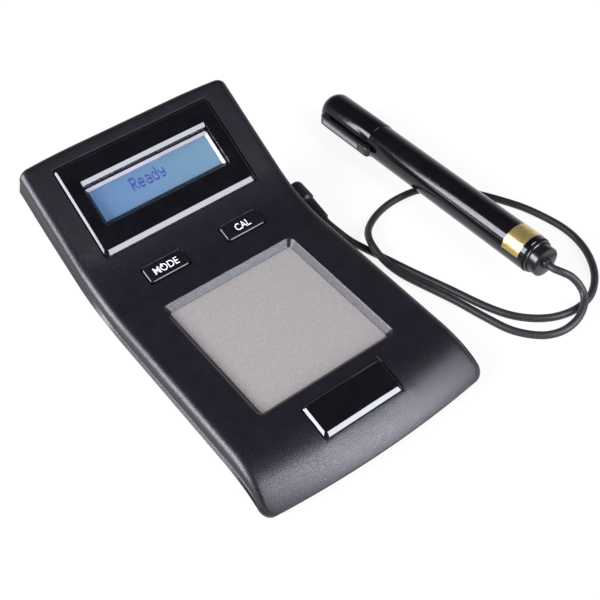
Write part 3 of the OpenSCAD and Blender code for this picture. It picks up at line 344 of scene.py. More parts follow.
def sideProfile():
    # points along the middle line from the nose's lower edge over the crest to the back's lower edge
    v, count = caseShape, profilePoints
    nose = np.linspace(noseAngle, 0, count["nose"])
    bend = np.linspace(0, displaySlope, count["bend"])
    crest = np.linspace(displaySlope, -math.pi / 2, count["crest"])
    noseY, noseZ = noseStart - v["noseRadius"] * np.sin(nose), v["deck"] - v["noseRadius"] * (1 - np.cos(nose))
    bendY, bendZ = bendStart + v["waveRadius"] * np.sin(bend), v["deck"] + v["waveRadius"] * (1 - np.cos(bend))
    overY, overZ = crestY - v["crestRadius"] * np.sin(crest), crestZ + v["crestRadius"] * np.cos(crest)
    frontZ = np.linspace(noseZ[0] - v["lipNose"], noseZ[0], count["lip"])
    backZ = np.linspace(overZ[-1], crestTop - v["lipBack"], count["back"])
    y = np.concatenate([np.full(count["lip"], noseY[0]), noseY[1:], bendY, overY,
                        np.full(count["back"] - 1, overY[-1])])
    z = np.concatenate([frontZ, noseZ[1:], bendZ, overZ, backZ[1:]])
    run = np.concatenate([[0], np.cumsum(np.hypot(np.diff(y), np.diff(z)))])
    keep = np.concatenate([[True], np.diff(run) > hair])
    return run[keep], y[keep], z[keep]


profileRun, profileY, profileZ = sideProfile()


def lipDepth(y):
    v = caseShape
    rise = np.sin(math.pi / 2 * np.clip((y + halfLength) / v["noseReach"], 0, 1))
    nose = v["lipNose"] + (v["lipMid"] - v["lipNose"]) * rise
    rampStart, rampEnd = v["lipRamp"]
    ramp = np.clip((y - rampStart) / (rampEnd - rampStart), 0, 1)
    back = v["lipMid"] + (v["lipBack"] - v["lipMid"]) * ramp
    return np.where(y < -halfLength + v["noseReach"], nose, back)


def cornerCut(y):
    r = np.where(y > 0, caseShape["backCorner"], caseShape["frontCorner"])
    inset = np.clip(halfLength - np.abs(y), 0, r)
    return r - np.sqrt(np.maximum(r * r - (r - inset) ** 2, 0))


def endBow(x, y):
    v = caseShape
    reach = halfLength - v["bowStart"]
    nose = np.clip((-y - v["bowStart"]) / reach, 0, 1)
    back = np.clip((y - v["backStart"]) / (halfLength - v["backStart"]), 0, 1)
    curl = np.maximum(np.abs(x) - v["backFlat"], 0) / (halfWidth - v["backFlat"])
    return v["noseBow"] * nose * (x / halfWidth) ** 2 - (v["backPull"] + v["backBow"] * curl ** 2) * back


# sizes of each recess; one without a depth is a hole right through, and an opening is cut in a recess's floor
recesses = {
    "display": {"along": 39.25, "half": (40.7, 23.05), "rim": 2.35, "floorCorner": 2.2, "depth": 1.2,
                "bevel": 0.15, "round": 0.4, "opening": (37, 14)},
    "pocket": {"half": (34.6, 36.75), "rim": 2.8, "floorCorner": 2.0, "depth": 3.0, "bevel": 2.4,
               "round": 0.3, "step": 1.0, "at": (0, -23.75, 18), "tilt": 0},
    "badge": {"half": (20, 8.5), "rim": 1.95, "floorCorner": 1.8, "depth": 1.1, "bevel": 0.15,
              "round": 0.4, "at": (0, -75.4, 17.197), "tilt": 12.48},
    "modeHole": {"half": (10.5, 4.65), "rim": 1.6, "at": (-20.45, 30.3, 20.39), "tilt": 15.02},
    "calHole": {"half": (10.5, 4.65), "rim": 1.6, "at": (20.45, 30.3, 20.39), "tilt": 15.02},
}
# lines laid across each edge of a recess, and how far a recess reaches to its sides, up and down
recessLines = {
    "outside": (2.2, 1.2, 0.6, 0.3, 0.2, 0.12, 0.06, 0), "quarters": (0.25, 0.5, 0.75, 1),
    "wideBevel": 0.5, "bevelTop": (0.12, 0.3), "bevelParts": (0.35, 0.6, 0.85), "foot": 0.06,
    "stepGap": 0.05, "stepEdge": 0.04,
    "openingGaps": (0, 0.5, 1), "reach": 2.2, "holeEdge": 0.3, "margin": 8,
    "tableHeight": 12, "pressHeight": 9, "holeHeight": 6,
}


def frameAt(place, tilt):
    return Matrix.Translation(place) @ Matrix.Rotation(math.radians(tilt), 4, "X")


displayFrame = (frameAt((0, caseShape["slopeFoot"], caseShape["deck"]), caseShape["slope"])
                @ Matrix.Translation((0, recesses["display"]["along"], 0)))


def moveBy(points, frame4):
    matrix = np.array(frame4)
    return points @ matrix[:3, :3].T + matrix[:3, 3]


def profileIn(values):
    # the side profile near a recess in the recess's own frame, and the runs along the profile of its points
    inverse = values["frame"].inverted()
    localV, localN = (inverse[i][1] * profileY + inverse[i][2] * profileZ + inverse[i][3] for i in (1, 2))
    near = ((np.abs(localN) < recessLines["tableHeight"])
            & (np.abs(localV) < values["half"][1] + recessLines["margin"]))
    return localV[near], localN[near], profileRun[near]


for name, values in recesses.items():
    values["frame"] = displayFrame if name == "display" else frameAt(values["at"], values["tilt"])
    values["tableV"], values["tableN"], values["tableRun"] = profileIn(values)


def mergeLines(hard, soft, gap):
    hard = sorted(set(round(h, 4) for h in hard))
    kept = [s for s in soft if min(abs(s - h) for h in hard) > gap]
    return np.array(sorted(hard + kept))


def edgeLines(half, values):
    # lines across one recess edge: outside it, through its bevel and into its floor's corner
    v = recessLines
    lines = [half + d for d in v["outside"]]
    if "bevel" not in values:
        return lines + [half - values["rim"] * t for t in v["quarters"]]
    bevel = values["bevel"]
    inner = half - bevel
    if bevel > v["wideBevel"]:
        lines += [half - d for d in v["bevelTop"]]
        lines += [half - bevel * t for t in v["bevelParts"]]
    lines.append(inner)
    if "step" in values:
        lines.append(inner - v["stepGap"])
    return lines + [inner - values["floorCorner"] * t - v["foot"] for t in v["quarters"]]


def sheetLines():
    # places across the sheet and runs along the profile that the recesses need
    across, along = [], []
    for values in recesses.values():
        middleU = values["frame"].translation.x
        for line in edgeLines(values["half"][0], values):
            across += [middleU + line, middleU - line]
        wanted = [side * line for line in edgeLines(values["half"][1], values) for side in (-1, 1)]
        if "opening" in values:
            for lines, reach in zip((across, wanted), values["opening"]):
                lines += [side * (reach - d) for d in recessLines["openingGaps"] for side in (-1, 1)]
        along += list(np.interp(wanted, values["tableV"], values["tableRun"]))
    return across, along


def roundedRing(u, v, half, radiusAt, shift):
    # moves a point of a square ring onto the ring with round corners; shift is its distance outside the rim
    a, b = half[0] + shift, half[1] + shift
    r = radiusAt(shift)
    pu, pv = np.abs(u) - (a - r), np.abs(v) - (b - r)
    corner = (pu > 0) & (pv > 0) & (r > hair)
    big = np.maximum(np.maximum(pu, pv), hair)
    small = np.minimum(pu, pv)
    angle = math.pi / 4 * np.clip(small / big, 0, 1)
    angle = np.where(pu >= pv, angle, math.pi / 2 - angle)
    newU = np.where(corner, (a - r) + big * np.cos(angle), np.abs(u))
    newV = np.where(corner, (b - r) + big * np.sin(angle), np.abs(v))
    return np.sign(u) * newU, np.sign(v) * newV


def softDrop(shift, slope, blend):
    # height of a wall that falls from the surface with a small round edge
    drop = slope * shift
    eased = -slope * (blend - shift) ** 2 / (4 * blend)
    return np.where(shift > blend, 0, np.where(shift < -blend, drop, eased))


def pressRecess(points, values):
    # points is the sheet in the housing's frame; returns it with this recess pressed in
    local = moveBy(points, values["frame"].inverted())
    u, v, n = local[..., 0], local[..., 1], local[..., 2]
    half, rim = values["half"], values["rim"]
    bevel, depth = values.get("bevel", 0), values.get("depth", 0)
    floorCorner = values.get("floorCorner", rim)
    outer, foot = recessLines["reach"], recessLines["foot"]
    shift = np.maximum(np.abs(u) - half[0], np.abs(v) - half[1])
    near = (shift < outer) & (np.abs(n) < recessLines["pressHeight"])

    def radiusAt(d):
        sloped = rim + (floorCorner - rim) * np.clip(-d / max(bevel, hair), 0, 1)
        inside = floorCorner * np.clip(1 + (d + bevel + foot) / (floorCorner + meshCare["speck"]), 0, 1)
        outside = rim * np.clip(1 - d / outer, 0, 1)
        return np.maximum(np.where(d > 0, outside, np.where(d < -bevel - foot, inside, sloped)), 0)

    if bevel:
        # the rim lies where the leaning wall meets the curved surface, found in three rounds
        surface = n.copy()
        for turn in range(3):
            meet = bevel * np.clip(surface, -depth, 0) / depth
            moved = np.where(shift > 0, meet + (outer - meet) * shift / outer,
                             np.where(shift > -bevel, meet + (-bevel - meet) * (-shift / bevel), shift))
            scaleU, scaleV = (np.where(np.abs(w) - reach >= shift - hair, reach + moved, np.abs(w))
                              for w, reach in ((u, half[0]), (v, half[1])))
            surface = np.interp(np.sign(v) * scaleV, values["tableV"], values["tableN"])
        u = np.sign(u) * scaleU
        v = np.sign(v) * scaleV
    else:
        moved = shift
    ringU, ringV = roundedRing(u, v, half, radiusAt, moved)
    surface = np.interp(ringV, values["tableV"], values["tableN"])
    if bevel:
        drop = softDrop(moved - bevel * np.clip(surface, -depth, 0) / depth, depth / bevel, values["round"])
        pressed = np.minimum(surface, np.maximum(drop + surface, -depth))
        if "step" in values:
            pressed = np.where(shift < -bevel - recessLines["stepEdge"], -depth - values["step"], pressed)
    else:
        edge = recessLines["holeEdge"]
        lean = np.clip((edge - moved) / edge, 0, 1)
        pressed = surface - edge * (1 - np.sqrt(np.maximum(1 - lean ** 2, 0)))
    moved3 = moveBy(np.stack([ringU, ringV, pressed], -1), values["frame"])
    return np.where(near[..., None], moved3, points)


def shellLines(edgeX):
    # every place across the sheet and every run along the profile at which the skin has points
    v = skinLines
    across, along = sheetLines()
    softX = list(np.linspace(-edgeX, edgeX, v["columns"]))
    total, tip = profileRun[-1], caseShape["lipNose"]
    soft = list(np.arange(v["firstRow"], total - v["lastRow"], v["rowStep"]))
    soft += [tip / 2, tip] + [tip + d for d in v["tipRows"]]
    crestStart = total - v["backWall"] - v["crestArc"]
    soft += [crestStart + v["crestArc"] * t for t in np.linspace(0, 1, v["crestRows"])]
    soft += [total - v["backWall"] * t for t in (0.75, 0.5, 0.25)]
    return (mergeLines(across + [-edgeX, edgeX], softX, v["columnGap"]),
            mergeLines(along + [0, total], soft, v["rowGap"]))


def plainSkin(across, edgeX, y, z, low):
    # the form without its recesses: up the left side, over the sheet and down the right side
    v, lines = caseShape, skinLines
    climb = math.tan(displaySlope)
    width = halfWidth - cornerCut(y)
    side = width - v["lipLean"] * np.clip((z - low) / v["leanOver"], 0, 1)
    fillet = np.minimum(v["edge"], lines["filletShare"] * (z - low))
    sheetEdge = side - fillet
    # steady lines in the middle, then stretched to the sheet's edge in each row
    steady, reach = lines["steady"], np.abs(across)[:, None]
    stretch = (sheetEdge - steady) / (edgeX - steady)
    x = np.where(reach <= steady, across[:, None],
                 np.sign(across)[:, None] * (steady + (reach - steady) * stretch[None, :]))
    flatY = np.broadcast_to(y, x.shape)
    bow = endBow(x, flatY)
    # behind the bend the sheet slides along its own slope, so that it stays flat
    sheet = np.stack([x, flatY + bow, z + np.where(flatY > 0, bow, 0) * climb], -1)
    # side chain, from the sheet's edge round the fillet and down to the lip
    turns = np.radians(np.linspace(10, 90, lines["filletTurns"]))
    chainX = [sheetEdge + fillet * np.sin(t) for t in turns]
    chainZ = [z - fillet * (1 - np.cos(t)) for t in turns]
    chamfer = np.minimum(v["edgeBreak"], lines["breakShare"] * (z - low))
    for t in lines["sideRows"]:
        chainX.append(side + (width - side) * t)
        chainZ.append((z - fillet) + (low + chamfer - z + fillet) * t)
    chainX, chainZ = np.array(chainX + [width - chamfer]), np.array(chainZ + [low])
    bow = endBow(chainX, np.broadcast_to(y, chainX.shape))
    chainY = y[None, :] + bow
    chainZ = chainZ + np.where(chainY > 0, bow, 0) * climb
    right = np.stack([chainX, chainY, chainZ], -1)
    left = np.stack([-chainX, chainY, chainZ], -1)[::-1]
    return np.concatenate([left, sheet, right]), len(left)


def innerSkin(base, outer, y, low):
    # the skin's thickness is laid along the normals of the plain form
    normal = np.cross(np.gradient(base, axis=0), np.gradient(base, axis=1))
    size = np.linalg.norm(normal, axis=-1, keepdims=True)
    normal /= np.maximum(size, hair)
    # rows that shrink to a point at the two ends take the normals of the first full row
    full = np.nonzero((size[..., 0] > meshCare["speck"]).all(axis=0))[0]
    normal[:, :full[0]] = normal[:, full[0]:full[0] + 1]
    normal[:, full[-1] + 1:] = normal[:, full[-1]:full[-1] + 1]
    inner = outer - caseShape["skin"] * normal
    # it stays inside the outer skin at the sides, at the nose, under the crest and at the lip
    innerX, innerY, innerZ = (inner[..., axis] for axis in range(3))
    outerX, outerY, outerZ = (outer[..., axis] for axis in range(3))
    innerX[:] = np.clip(innerX, -np.abs(outerX), np.abs(outerX))
    innerY[:] = np.where(y < skinLines["noseZone"], np.maximum(innerY, outerY), innerY)
    innerY[:] = np.where(y > crestY, np.minimum(innerY, outerY), innerY)
    innerZ[:] = np.maximum(innerZ, np.minimum(outerZ, low[None, :]))
    return inner


def skinFaces(outer):
    rows, columns = outer.shape[:2]
    count = rows * columns
    # faces inside a hole or an opening are left out
    middle = (outer[:-1, :-1] + outer[1:, :-1] + outer[:-1, 1:] + outer[1:, 1:]) / 4
    opened = np.zeros(middle.shape[:2], bool)
    for values in recesses.values():
        reach = values.get("opening", None if "depth" in values else values["half"])
        if reach:
            local = np.abs(moveBy(middle, values["frame"].inverted()))
            opened |= ((local[..., 0] < reach[0]) & (local[..., 1] < reach[1])
                       & (local[..., 2] < recessLines["holeHeight"]))
    index = np.arange(count).reshape(rows, columns)
    faces = []
    for i, j in zip(*np.nonzero(~opened)):
        quad = [int(q) for q in (index[i, j], index[i + 1, j], index[i + 1, j + 1], index[i, j + 1])]
        faces.append(tuple(quad))
        faces.append(tuple(q + count for q in reversed(quad)))
    # the two skins are joined wherever the outer one has a free edge
    edges = dict.fromkeys(edge for face in faces[::2] for edge in zip(face, face[1:] + face[:1]))
    return faces + [(b, a, a + count, b + count) for a, b in edges if (b, a) not in edges]


def makeTopShell():
    v = caseShape
    edgeX = halfWidth - v["lipLean"] - v["edge"]
    across, runs = shellLines(edgeX)
    y = np.interp(runs, profileRun, profileY)
    z = np.minimum(np.interp(runs, profileRun, profileZ), shellHigh.z / mm)
    low = np.where(y > crestY, crestTop, z) - lipDepth(y)
    low = np.minimum(np.where(runs < v["lipNose"], profileZ[0], low), z)
    base, first = plainSkin(across, edgeX, y, z, low)
    outer = base.copy()
    sheet = outer[first:first + len(across)]
    for values in recesses.values():
        sheet[:] = pressRecess(sheet, values)
    inner = innerSkin(base, outer, y, low)
    points = np.concatenate([outer.reshape(-1, 3), inner.reshape(-1, 3)])
    makePiece("caseTop", points, skinFaces(outer), "caseBlack", "housing", "case_black", "top_shell")


makeTopShell()
print("top shell made")


# plates, keys and frames: stacks of rounded outlines
outlineShape = {"leastRadius": 0.02, "insetShare": 0.6, "leastInset": 0.25}


def roundOutline(halfW, halfL, radius, turns=8):
    radius = max(radius, outlineShape["leastRadius"])
    points = []
    for start, sideU, sideV in ((0, 1, 1), (90, -1, 1), (180, -1, -1), (270, 1, -1)):
        for step in range(turns + 1):
            angle = math.radians(start + 90 * step / turns)
            points.append((sideU * (halfW - radius) + radius * math.cos(angle),
                           sideV * (halfL - radius) + radius * math.sin(angle)))
    return points


def bandFaces(rows, count, closed=False):
    # quads between rows of count points each
    faces = []
    for i in range(rows if closed else rows - 1):
        here, after = i * count, (i + 1) % rows * count
        faces += [(here + k, here + (k + 1) % count, after + (k + 1) % count, after + k) for k in range(count)]
    return faces


def endFaces(total, count):
    return [tuple(reversed(range(count))), tuple(range(total - count, total))]


def stackRings(rings, frame4, hollow=False):
    # each ring is (half width, half length, corner radius, shift along v, height)
    points = []
    for halfW, halfL, radius, shiftV, height in rings:
        points += [frame4 @ Vector((u, v + shiftV, height)) for u, v in roundOutline(halfW, halfL, radius)]
    count = len(points) // len(rings)
    ends = [] if hollow else endFaces(len(points), count)
    return points, bandFaces(len(rings), count, closed=hollow) + ends


def insetRings(half, radius, steps):
    # steps are (height, inset at the sides, at the front edge, at the back edge)
    rings = []
    for height, side, front, back in steps:
        corner = max(radius - side * outlineShape["insetShare"], outlineShape["leastInset"])
        rings.append((half[0] - side, half[1] - (front + back) / 2, corner, (front - back) / 2, height))
    return rings


displayPanel = {
    "half": (40.4, 22.75), "corner": 2.1,
    "edge": [(-1.19, 0, 0, 0), (0.06, 0, 0, 0), (0.12, 0.05, 0.08, 0.05), (0.84, 0.85, 1.95, 0.85),
             (0.93, 1.0, 2.2, 1.0), (0.98, 1.2, 2.45, 1.2), (1.0, 1.45, 2.75, 1.45), (1.0, 1.8, 3.1, 1.8)],
    "opening": [(33.3, 11.55, 1.0, 1.1, 1.0), (33.2, 11.45, 1.0, 1.1, 0.96), (32.8, 10.2, 0.5, 0.45, 0.2),
                (32.8, 10.2, 0.5, 0.45, -0.6), (32.8, 10.2, 0.5, 0.45, -1.19)],
}
displayBezel = {
    "rings": [(35.6, 12.7, 0.8, 0, -6.7), (35.6, 12.7, 0.8, 0, -1.3), (32.25, 9.2, 0.9, 0, -1.3),
              (32.15, 9.1, 0.8, 0, -1.35), (30.95, 7.9, 0.4, 0, -2.6), (30.9, 7.85, 0.35, 0, -2.79),
              (35.1, 12.2, 0.5, 0, -2.79), (35.1, 12.2, 0.5, 0, -6.7)],
    # which sloped faces of the window get the painted highlight
    "slopeTurn": (0.4, 0.9),  # how far up a sloped face looks
}
badgePlate = {
    "half": (19.7, 8.2), "corner": 1.8,
    "edge": [(-1.09, 0, 0, 0), (-0.4, 0, 0, 0), (-0.33, 0.05, 0.07, 0.05), (0.56, 1.0, 1.5, 1.0),
             (0.68, 1.15, 1.75, 1.15), (0.76, 1.35, 2.0, 1.35), (0.8, 1.6, 2.25, 1.6), (0.8, 1.9, 2.6, 1.9)],
}
keyCap = {
    "half": (10.15, 4.3), "corner": 1.4, "stem": 2.2, "stemEnd": -4.8, "flange": (11.35, 5.5),
    "flangeUnder": -3.4, "flangeTop": -2.5,
    "edge": [(height, inset, inset, inset) for height, inset in (
        (-2.5, 0), (0.4, 0), (0.5, 0.04), (0.68, 0.14), (0.84, 0.3), (0.95, 0.48), (1.0, 0.65), (1.0, 0.9))],
}


def makeDisplay(panel, bezel):
    rings = insetRings(panel["half"], panel["corner"], panel["edge"]) + panel["opening"]
    makePiece("displayPanel", *stackRings(rings, displayFrame, hollow=True), "panelBlack", "housing",
              "panel_black", "display_panel", edges="crisp")
    piece = makePiece("displayBezel", *stackRings(bezel["rings"], displayFrame, hollow=True), "frameBlack",
                      "housing", "frame_black", "lcd_frame", edges="crisp")
    # the far and the right slope of the window face the lamps and get a light grey as a painted highlight
    piece.data.materials.append(finishes["paintedWindowHighlight"])
    flat = displayFrame.to_3x3().inverted()
    low, high = bezel["slopeTurn"]
    for face in piece.data.polygons:
        u, v, n = flat @ face.normal
        face.material_index = int(low < n < high and min(u, v) < -low)


def makeBadge(values):
    rings = insetRings(values["half"], values["corner"], values["edge"])
    makePiece("badgePlate", *stackRings(rings, recesses["badge"]["frame"]), "badgeBlack", "housing",
              "badge_black", "badge_plate", edges="crisp")


def makeKey(name, values, frame4, body, replaced):
    stem, (flangeW, flangeL) = values["stem"], values["flange"]
    rings = [(stem, stem, stem, 0, values["stemEnd"]), (stem, stem, stem, 0, values["flangeUnder"]),
             (flangeW, flangeL, values["corner"], 0, values["flangeUnder"]),
             (flangeW, flangeL, values["corner"], 0, values["flangeTop"])]
    rings += insetRings(values["half"], values["corner"], values["edge"])
    makePiece(name, *stackRings(rings, frame4), "keyBlack", body, "key_black", replaced, edges="crisp")


makeDisplay(displayPanel, displayBezel)
makeBadge(badgePlate)
makeKey("modeKey", keyCap, recesses["modeHole"]["frame"], "mode", "mode_key")
makeKey("calKey", keyCap, recesses["calHole"]["frame"], "cal", "cal_key")
print("panel, badge and keys made")


# lettering on the keys and the dots on the display
wordShape = {"weight": 0.008, "thick": 0.03, "lift": 1.012}
powerTick = {"width": 0.62, "length": 1.9, "middle": -1.55, "top": 2.25, "foot": 1.0, "thick": 0.035}
keyWords = {
    "modeWord": {"text": "MODE", "width": 12.4, "height": 3.7, "frame": "modeHole", "body": "mode",
                 "tick": powerTick},
    "calWord": {"text": "CAL", "width": 7.7, "height": 3.7, "frame": "calHole", "body": "cal"},
}


def blockAt(low, high, first):
    # corners and faces of a block between two corners; first is the number of its first point
    (x0, y0, z0), (x1, y1, z1) = low, high
    points = [(x, y, z) for z in (z0, z1) for x, y in ((x0, y0), (x1, y0), (x1, y1), (x0, y1))]
    quads = (0, 1, 2, 3), (7, 6, 5, 4), (0, 4, 5, 1), (1, 5, 6, 2), (2, 6, 7, 3), (3, 7, 4, 0)
    return points, [tuple(first + k for k in quad) for quad in quads]


def makeWord(name, values):
    lettering = bpy.data.curves.new(name, "FONT")
    lettering.body = values["text"]
    lettering.offset = wordShape["weight"]
    lettering.extrude = 0.01  # any thickness will do, since the word is scaled to its own below
    draft = putIn(bpy.data.objects.new(name + "Draft", lettering))
    bpy.context.view_layer.update()
    shape = bpy.data.meshes.new_from_object(draft.evaluated_get(bpy.context.evaluated_depsgraph_get()))
    points = np.array([tuple(vertex.co) for vertex in shape.vertices])
    faces = [tuple(face.vertices) for face in shape.polygons]
    bpy.data.objects.remove(draft)
    low, high = points.min(0), points.max(0)
    points = (points - (low + high) / 2) / (high - low)
    points *= np.array((values["width"], values["height"], wordShape["thick"]))
    points[:, 2] += wordShape["lift"]
    if "tick" in values:
        # the power mark's stroke, set into the ring of its letter
        tick = values["tick"]
        half = tick["width"] / 2
        stroke, strokeFaces = blockAt(
            (tick["middle"] - half, tick["top"], tick["foot"]),
            (tick["middle"] + half, tick["top"] - tick["length"], tick["foot"] + tick["thick"]), len(points))
        points = np.concatenate([points, stroke])
        faces += strokeFaces
    points = moveBy(points, recesses[values["frame"]]["frame"])
    makePiece(name, points, faces, "wordWhite", values["body"], "key_black")


dotLetters = {
    "R": ("11110", "10001", "10001", "11110", "10100", "10010", "10001"),
    "e": ("00000", "00000", "01110", "10001", "11111", "10000", "01110"),
    "a": ("00000", "00000", "01110", "00001", "01111", "10001", "01111"),
    "d": ("00001", "00001", "01101", "10011", "10001", "10001", "01111"),
    "y": ("00000", "00000", "10001", "10001", "01111", "00001", "01110"),
}
dotWord = {"text": "Ready", "left": -12.3, "top": 5.3, "pitch": (0.6, 0.92), "letterPitch": 3.6,
           "dot": (0.57, 0.87), "height": -2.78, "thick": 0.02}


def makeDots(values):
    points, faces = [], []
    for index, letter in enumerate(values["text"]):
        for row, line in enumerate(dotLetters[letter]):
            for column, mark in enumerate(line):
                if mark == "0":
                    continue
                u = values["left"] + index * values["letterPitch"] + column * values["pitch"][0]
                v = values["top"] - row * values["pitch"][1]
                w, l = values["dot"]
                top = values["height"] + values["thick"]
                dot, dotFaces = blockAt((u, v, values["height"]), (u + w, v - l, top), len(points))
                points += [displayFrame @ Vector(point) for point in dot]
                faces += dotFaces
    makePiece("displayDots", points, faces, "dotBlue", "housing", "lcd_blue")


for wordName, wordValues in keyWords.items():
    makeWord(wordName, wordValues)
makeDots(dotWord)
print("lettering made")


# probe pen: pieces turned about its length, heights from the tail's end
penLie = {"tail": (112.2, -70, 15.9), "headHeight": 8.95, "length": 156, "turn": -0.74}
penTilt = math.asin((penLie["tail"][2] - penLie["headHeight"]) / penLie["length"])
penFrame = (Matrix.Translation(penLie["tail"]) @ Matrix.Rotation(math.radians(penLie["turn"]), 4, "Z")
            @ Matrix.Rotation(-math.pi / 2 - penTilt, 4, "X"))
penCap = {
    "mouth": 115, "length": 41, "radius": 8.9, "bore": 7.5, "boreDepth": 35, "roundWide": 6.2, "roundLong": 6.8,
    "lip": 0.2, "turns": 16,
}


def turnPiece(profile, frame4, turns=72):
    # a closed outline of (radius, height) points turned about the frame's own z
    points, faces, index = [], [], []
    for radius, height in profile:
        if radius < hair:
            index.append([len(points)] * turns)
            points.append(frame4 @ Vector((0, 0, height)))
        else:
            index.append(list(range(len(points), len(points) + turns)))
            angles = [2 * math.pi * k / turns for k in range(turns)]
            points += [frame4 @ Vector((radius * math.cos(a), radius * math.sin(a), height)) for a in angles]
    for i in range(len(profile)):
        after = (i + 1) % len(profile)
        for k in range(turns):
            m = (k + 1) % turns
            quad = []
            for corner in (index[i][k], index[i][m], index[after][m], index[after][k]):
                if corner not in quad:
                    quad.append(corner)
            if len(quad) > 2:
                faces.append(tuple(quad))
    return points, faces


def makeCap(v):
    end = v["mouth"] + v["length"]
    outline = [(v["bore"], v["mouth"]), (v["radius"] - v["lip"], v["mouth"])]
    outline += [(v["radius"] - v["lip"] * (1 - math.sin(a)), v["mouth"] + v["lip"] * (1 - math.cos(a)))
                for a in np.radians((30, 60, 90))]
    for a in np.radians(np.linspace(0, 90, v["turns"])):
        outline.append((v["radius"] - v["roundWide"] * (1 - math.cos(a)),
                        end - v["roundLong"] * (1 - math.sin(a))))
    outline += [(0, end), (0, v["mouth"] + v["boreDepth"]), (v["bore"], v["mouth"] + v["boreDepth"])]
    makePiece("penCap", *turnPiece(outline, penFrame), "penBlack", "cap", "pen_black", "pen_cap")


penBody = {
    "outer": 8.6, "start": 6.2, "edge": 0.3, "mouth": 114.8, "mouthEdge": 0.12, "mouthWall": 1.8,
    "neck": 7.4, "neckEnd": 125, "bore": 7.0, "mouthBore": 6.2,
    "labelFrom": 9.0, "labelLong": 10, "labelLift": 0.01, "labelThick": 0.15, "labelTurn": (-170, 130),
    "labelSteps": 76,
    # collar and tail plug: (radius, distance from the end) and (inset, distance from the tail's end)
    "collarFrom": 4.4, "collarTail": ((7.6, 0), (8.0, 0.35)), "collarHead": ((8.0, 0.5), (7.7, 0)),
    "plugOuter": 7.15, "plugEdge": ((0.5, 0), (0.15, 0.15), (0, 0.5)), "stemOuter": 6.95, "stemEnd": 17.4,
    "grommetBore": 2.76,
}


def makeBarrel(v):
    edge, mouthEdge, wallEnd = v["edge"], v["mouthEdge"], v["mouth"] - v["mouthWall"]
    outline = [(v["bore"], v["start"]), (v["outer"] - edge, v["start"]), (v["outer"], v["start"] + edge),
               (v["outer"], v["mouth"] - mouthEdge), (v["outer"] - mouthEdge, v["mouth"]),
               (v["neck"], v["mouth"]), (v["neck"], v["neckEnd"]), (v["mouthBore"], v["neckEnd"]),
               (v["mouthBore"], wallEnd), (v["bore"], wallEnd)]
    makePiece("penBarrel", *turnPiece(outline, penFrame), "penBlack", "probe", "pen_black", "pen_barrel")


def makeLabel(v):
    inner, outer = v["outer"] + v["labelLift"], v["outer"] + v["labelThick"]
    rings = [(inner, 0), (outer, 0), (outer, v["labelLong"]), (inner, v["labelLong"])]
    points = []
    for angle in np.radians(np.linspace(*v["labelTurn"], v["labelSteps"])):
        points += [penFrame @ Vector((r * math.cos(angle), r * math.sin(angle), v["labelFrom"] + t))
                   for r, t in rings]
    faces = bandFaces(v["labelSteps"], len(rings)) + endFaces(len(points), len(rings))
    makePiece("penLabel", points, faces, "labelGold", "probe", "label_gold", "pen_label")


def makeTail(v):
    start, end, r = v["collarFrom"], v["start"], v["plugOuter"]
    outline = [(v["bore"], start), *((radius, start + along) for radius, along in v["collarTail"]),
               *((radius, end - along) for radius, along in v["collarHead"]), (v["bore"], end)]
    makePiece("penCollar", *turnPiece(outline, penFrame), "tailGrey", "probe", "tail_grey", "pen_collar")
    outline = [(v["grommetBore"], 0), *((r - inset, along) for inset, along in v["plugEdge"]), (r, start),
               (v["stemOuter"], start), (v["stemOuter"], v["stemEnd"]), (v["grommetBore"], v["stemEnd"])]
    makePiece("penTailPlug", *turnPiece(outline, penFrame), "tailGrey", "probe", "tail_grey", "pen_tail_plug")


capClip = {
    "turn": 186, "from": 110, "to": 149.5, "under": 10.1, "outer": 12.2, "halfWide": 2.7, "corner": 0.7,
    "cornerShare": 2.2,
    # stations from each end: (along the pen, change of the inner and outer radius, share of the width)
    "fromRows": ((0, 0.5, -0.9, 0.6), (0.5, 0.1, -0.3, 0.8), (1.3, -0.5, 0, 0.9), (2.6, -0.9, 0.05, 0.95),
                 (3.9, -0.4, 0, 1), (5, 0, -0.1, 1)),
    "toRows": ((-7, 0, 0, 1), (-4.6, -1.7, 0, 1), (-2, -1.9, -0.15, 1), (-0.8, -1.95, -0.6, 0.96),
               (-0.2, -2, -1.3, 0.9), (0, -2, -2, 0.85)),
    "strip": (118, 146, 1.15), "stripUnder": 0.3, "stripLift": 0.03,
    "ribs": 14, "ribShape": ((0, 0), (0.15, 0.16), (0.6, 0.16), (0.75, 0)),
}


def makeClip(v, turned):
    points = []
    for end in ("from", "to"):
        for along, under, over, share in v[end + "Rows"]:
            low, high, wide = v["under"] + under, v["outer"] + over, v["halfWide"] * share
            corner = min(v["corner"], (high - low) / v["cornerShare"], wide / v["cornerShare"])
            ring = roundOutline((high - low) / 2, wide, corner, turns=4)
            points += [turned @ Vector(((low + high) / 2 + u, w, v[end] + along)) for u, w in ring]
    stations = len(v["fromRows"]) + len(v["toRows"])
    count = len(points) // stations
    faces = bandFaces(stations, count) + endFaces(len(points), count)
    makePiece("capClip", points, faces, "clipBlack", "cap", "clip_black", "pen_clip")


def makeStrip(v, turned):
    # ribbed strip let into the clip's outer face, coloured grey as a painted highlight
    first, last, wide = v["strip"]
    step = (last - first) / v["ribs"]
    heights = [(first + step * (rib + part), lift) for rib in range(v["ribs"]) for part, lift in v["ribShape"]]
    heights.append((last, 0))
    points = []
    for place, lift in heights:
        top = v["stripLift"] + lift
        points += [turned @ Vector((v["outer"] + r, w, place)) for r, w in
                   ((-v["stripUnder"], -wide), (top, -wide), (top, wide), (-v["stripUnder"], wide))]
    faces = bandFaces(len(heights), 4) + endFaces(len(points), 4)
    makePiece("clipStrip", points, faces, "paintedClipHighlight", "cap", "clip_black", edges="ribbed")


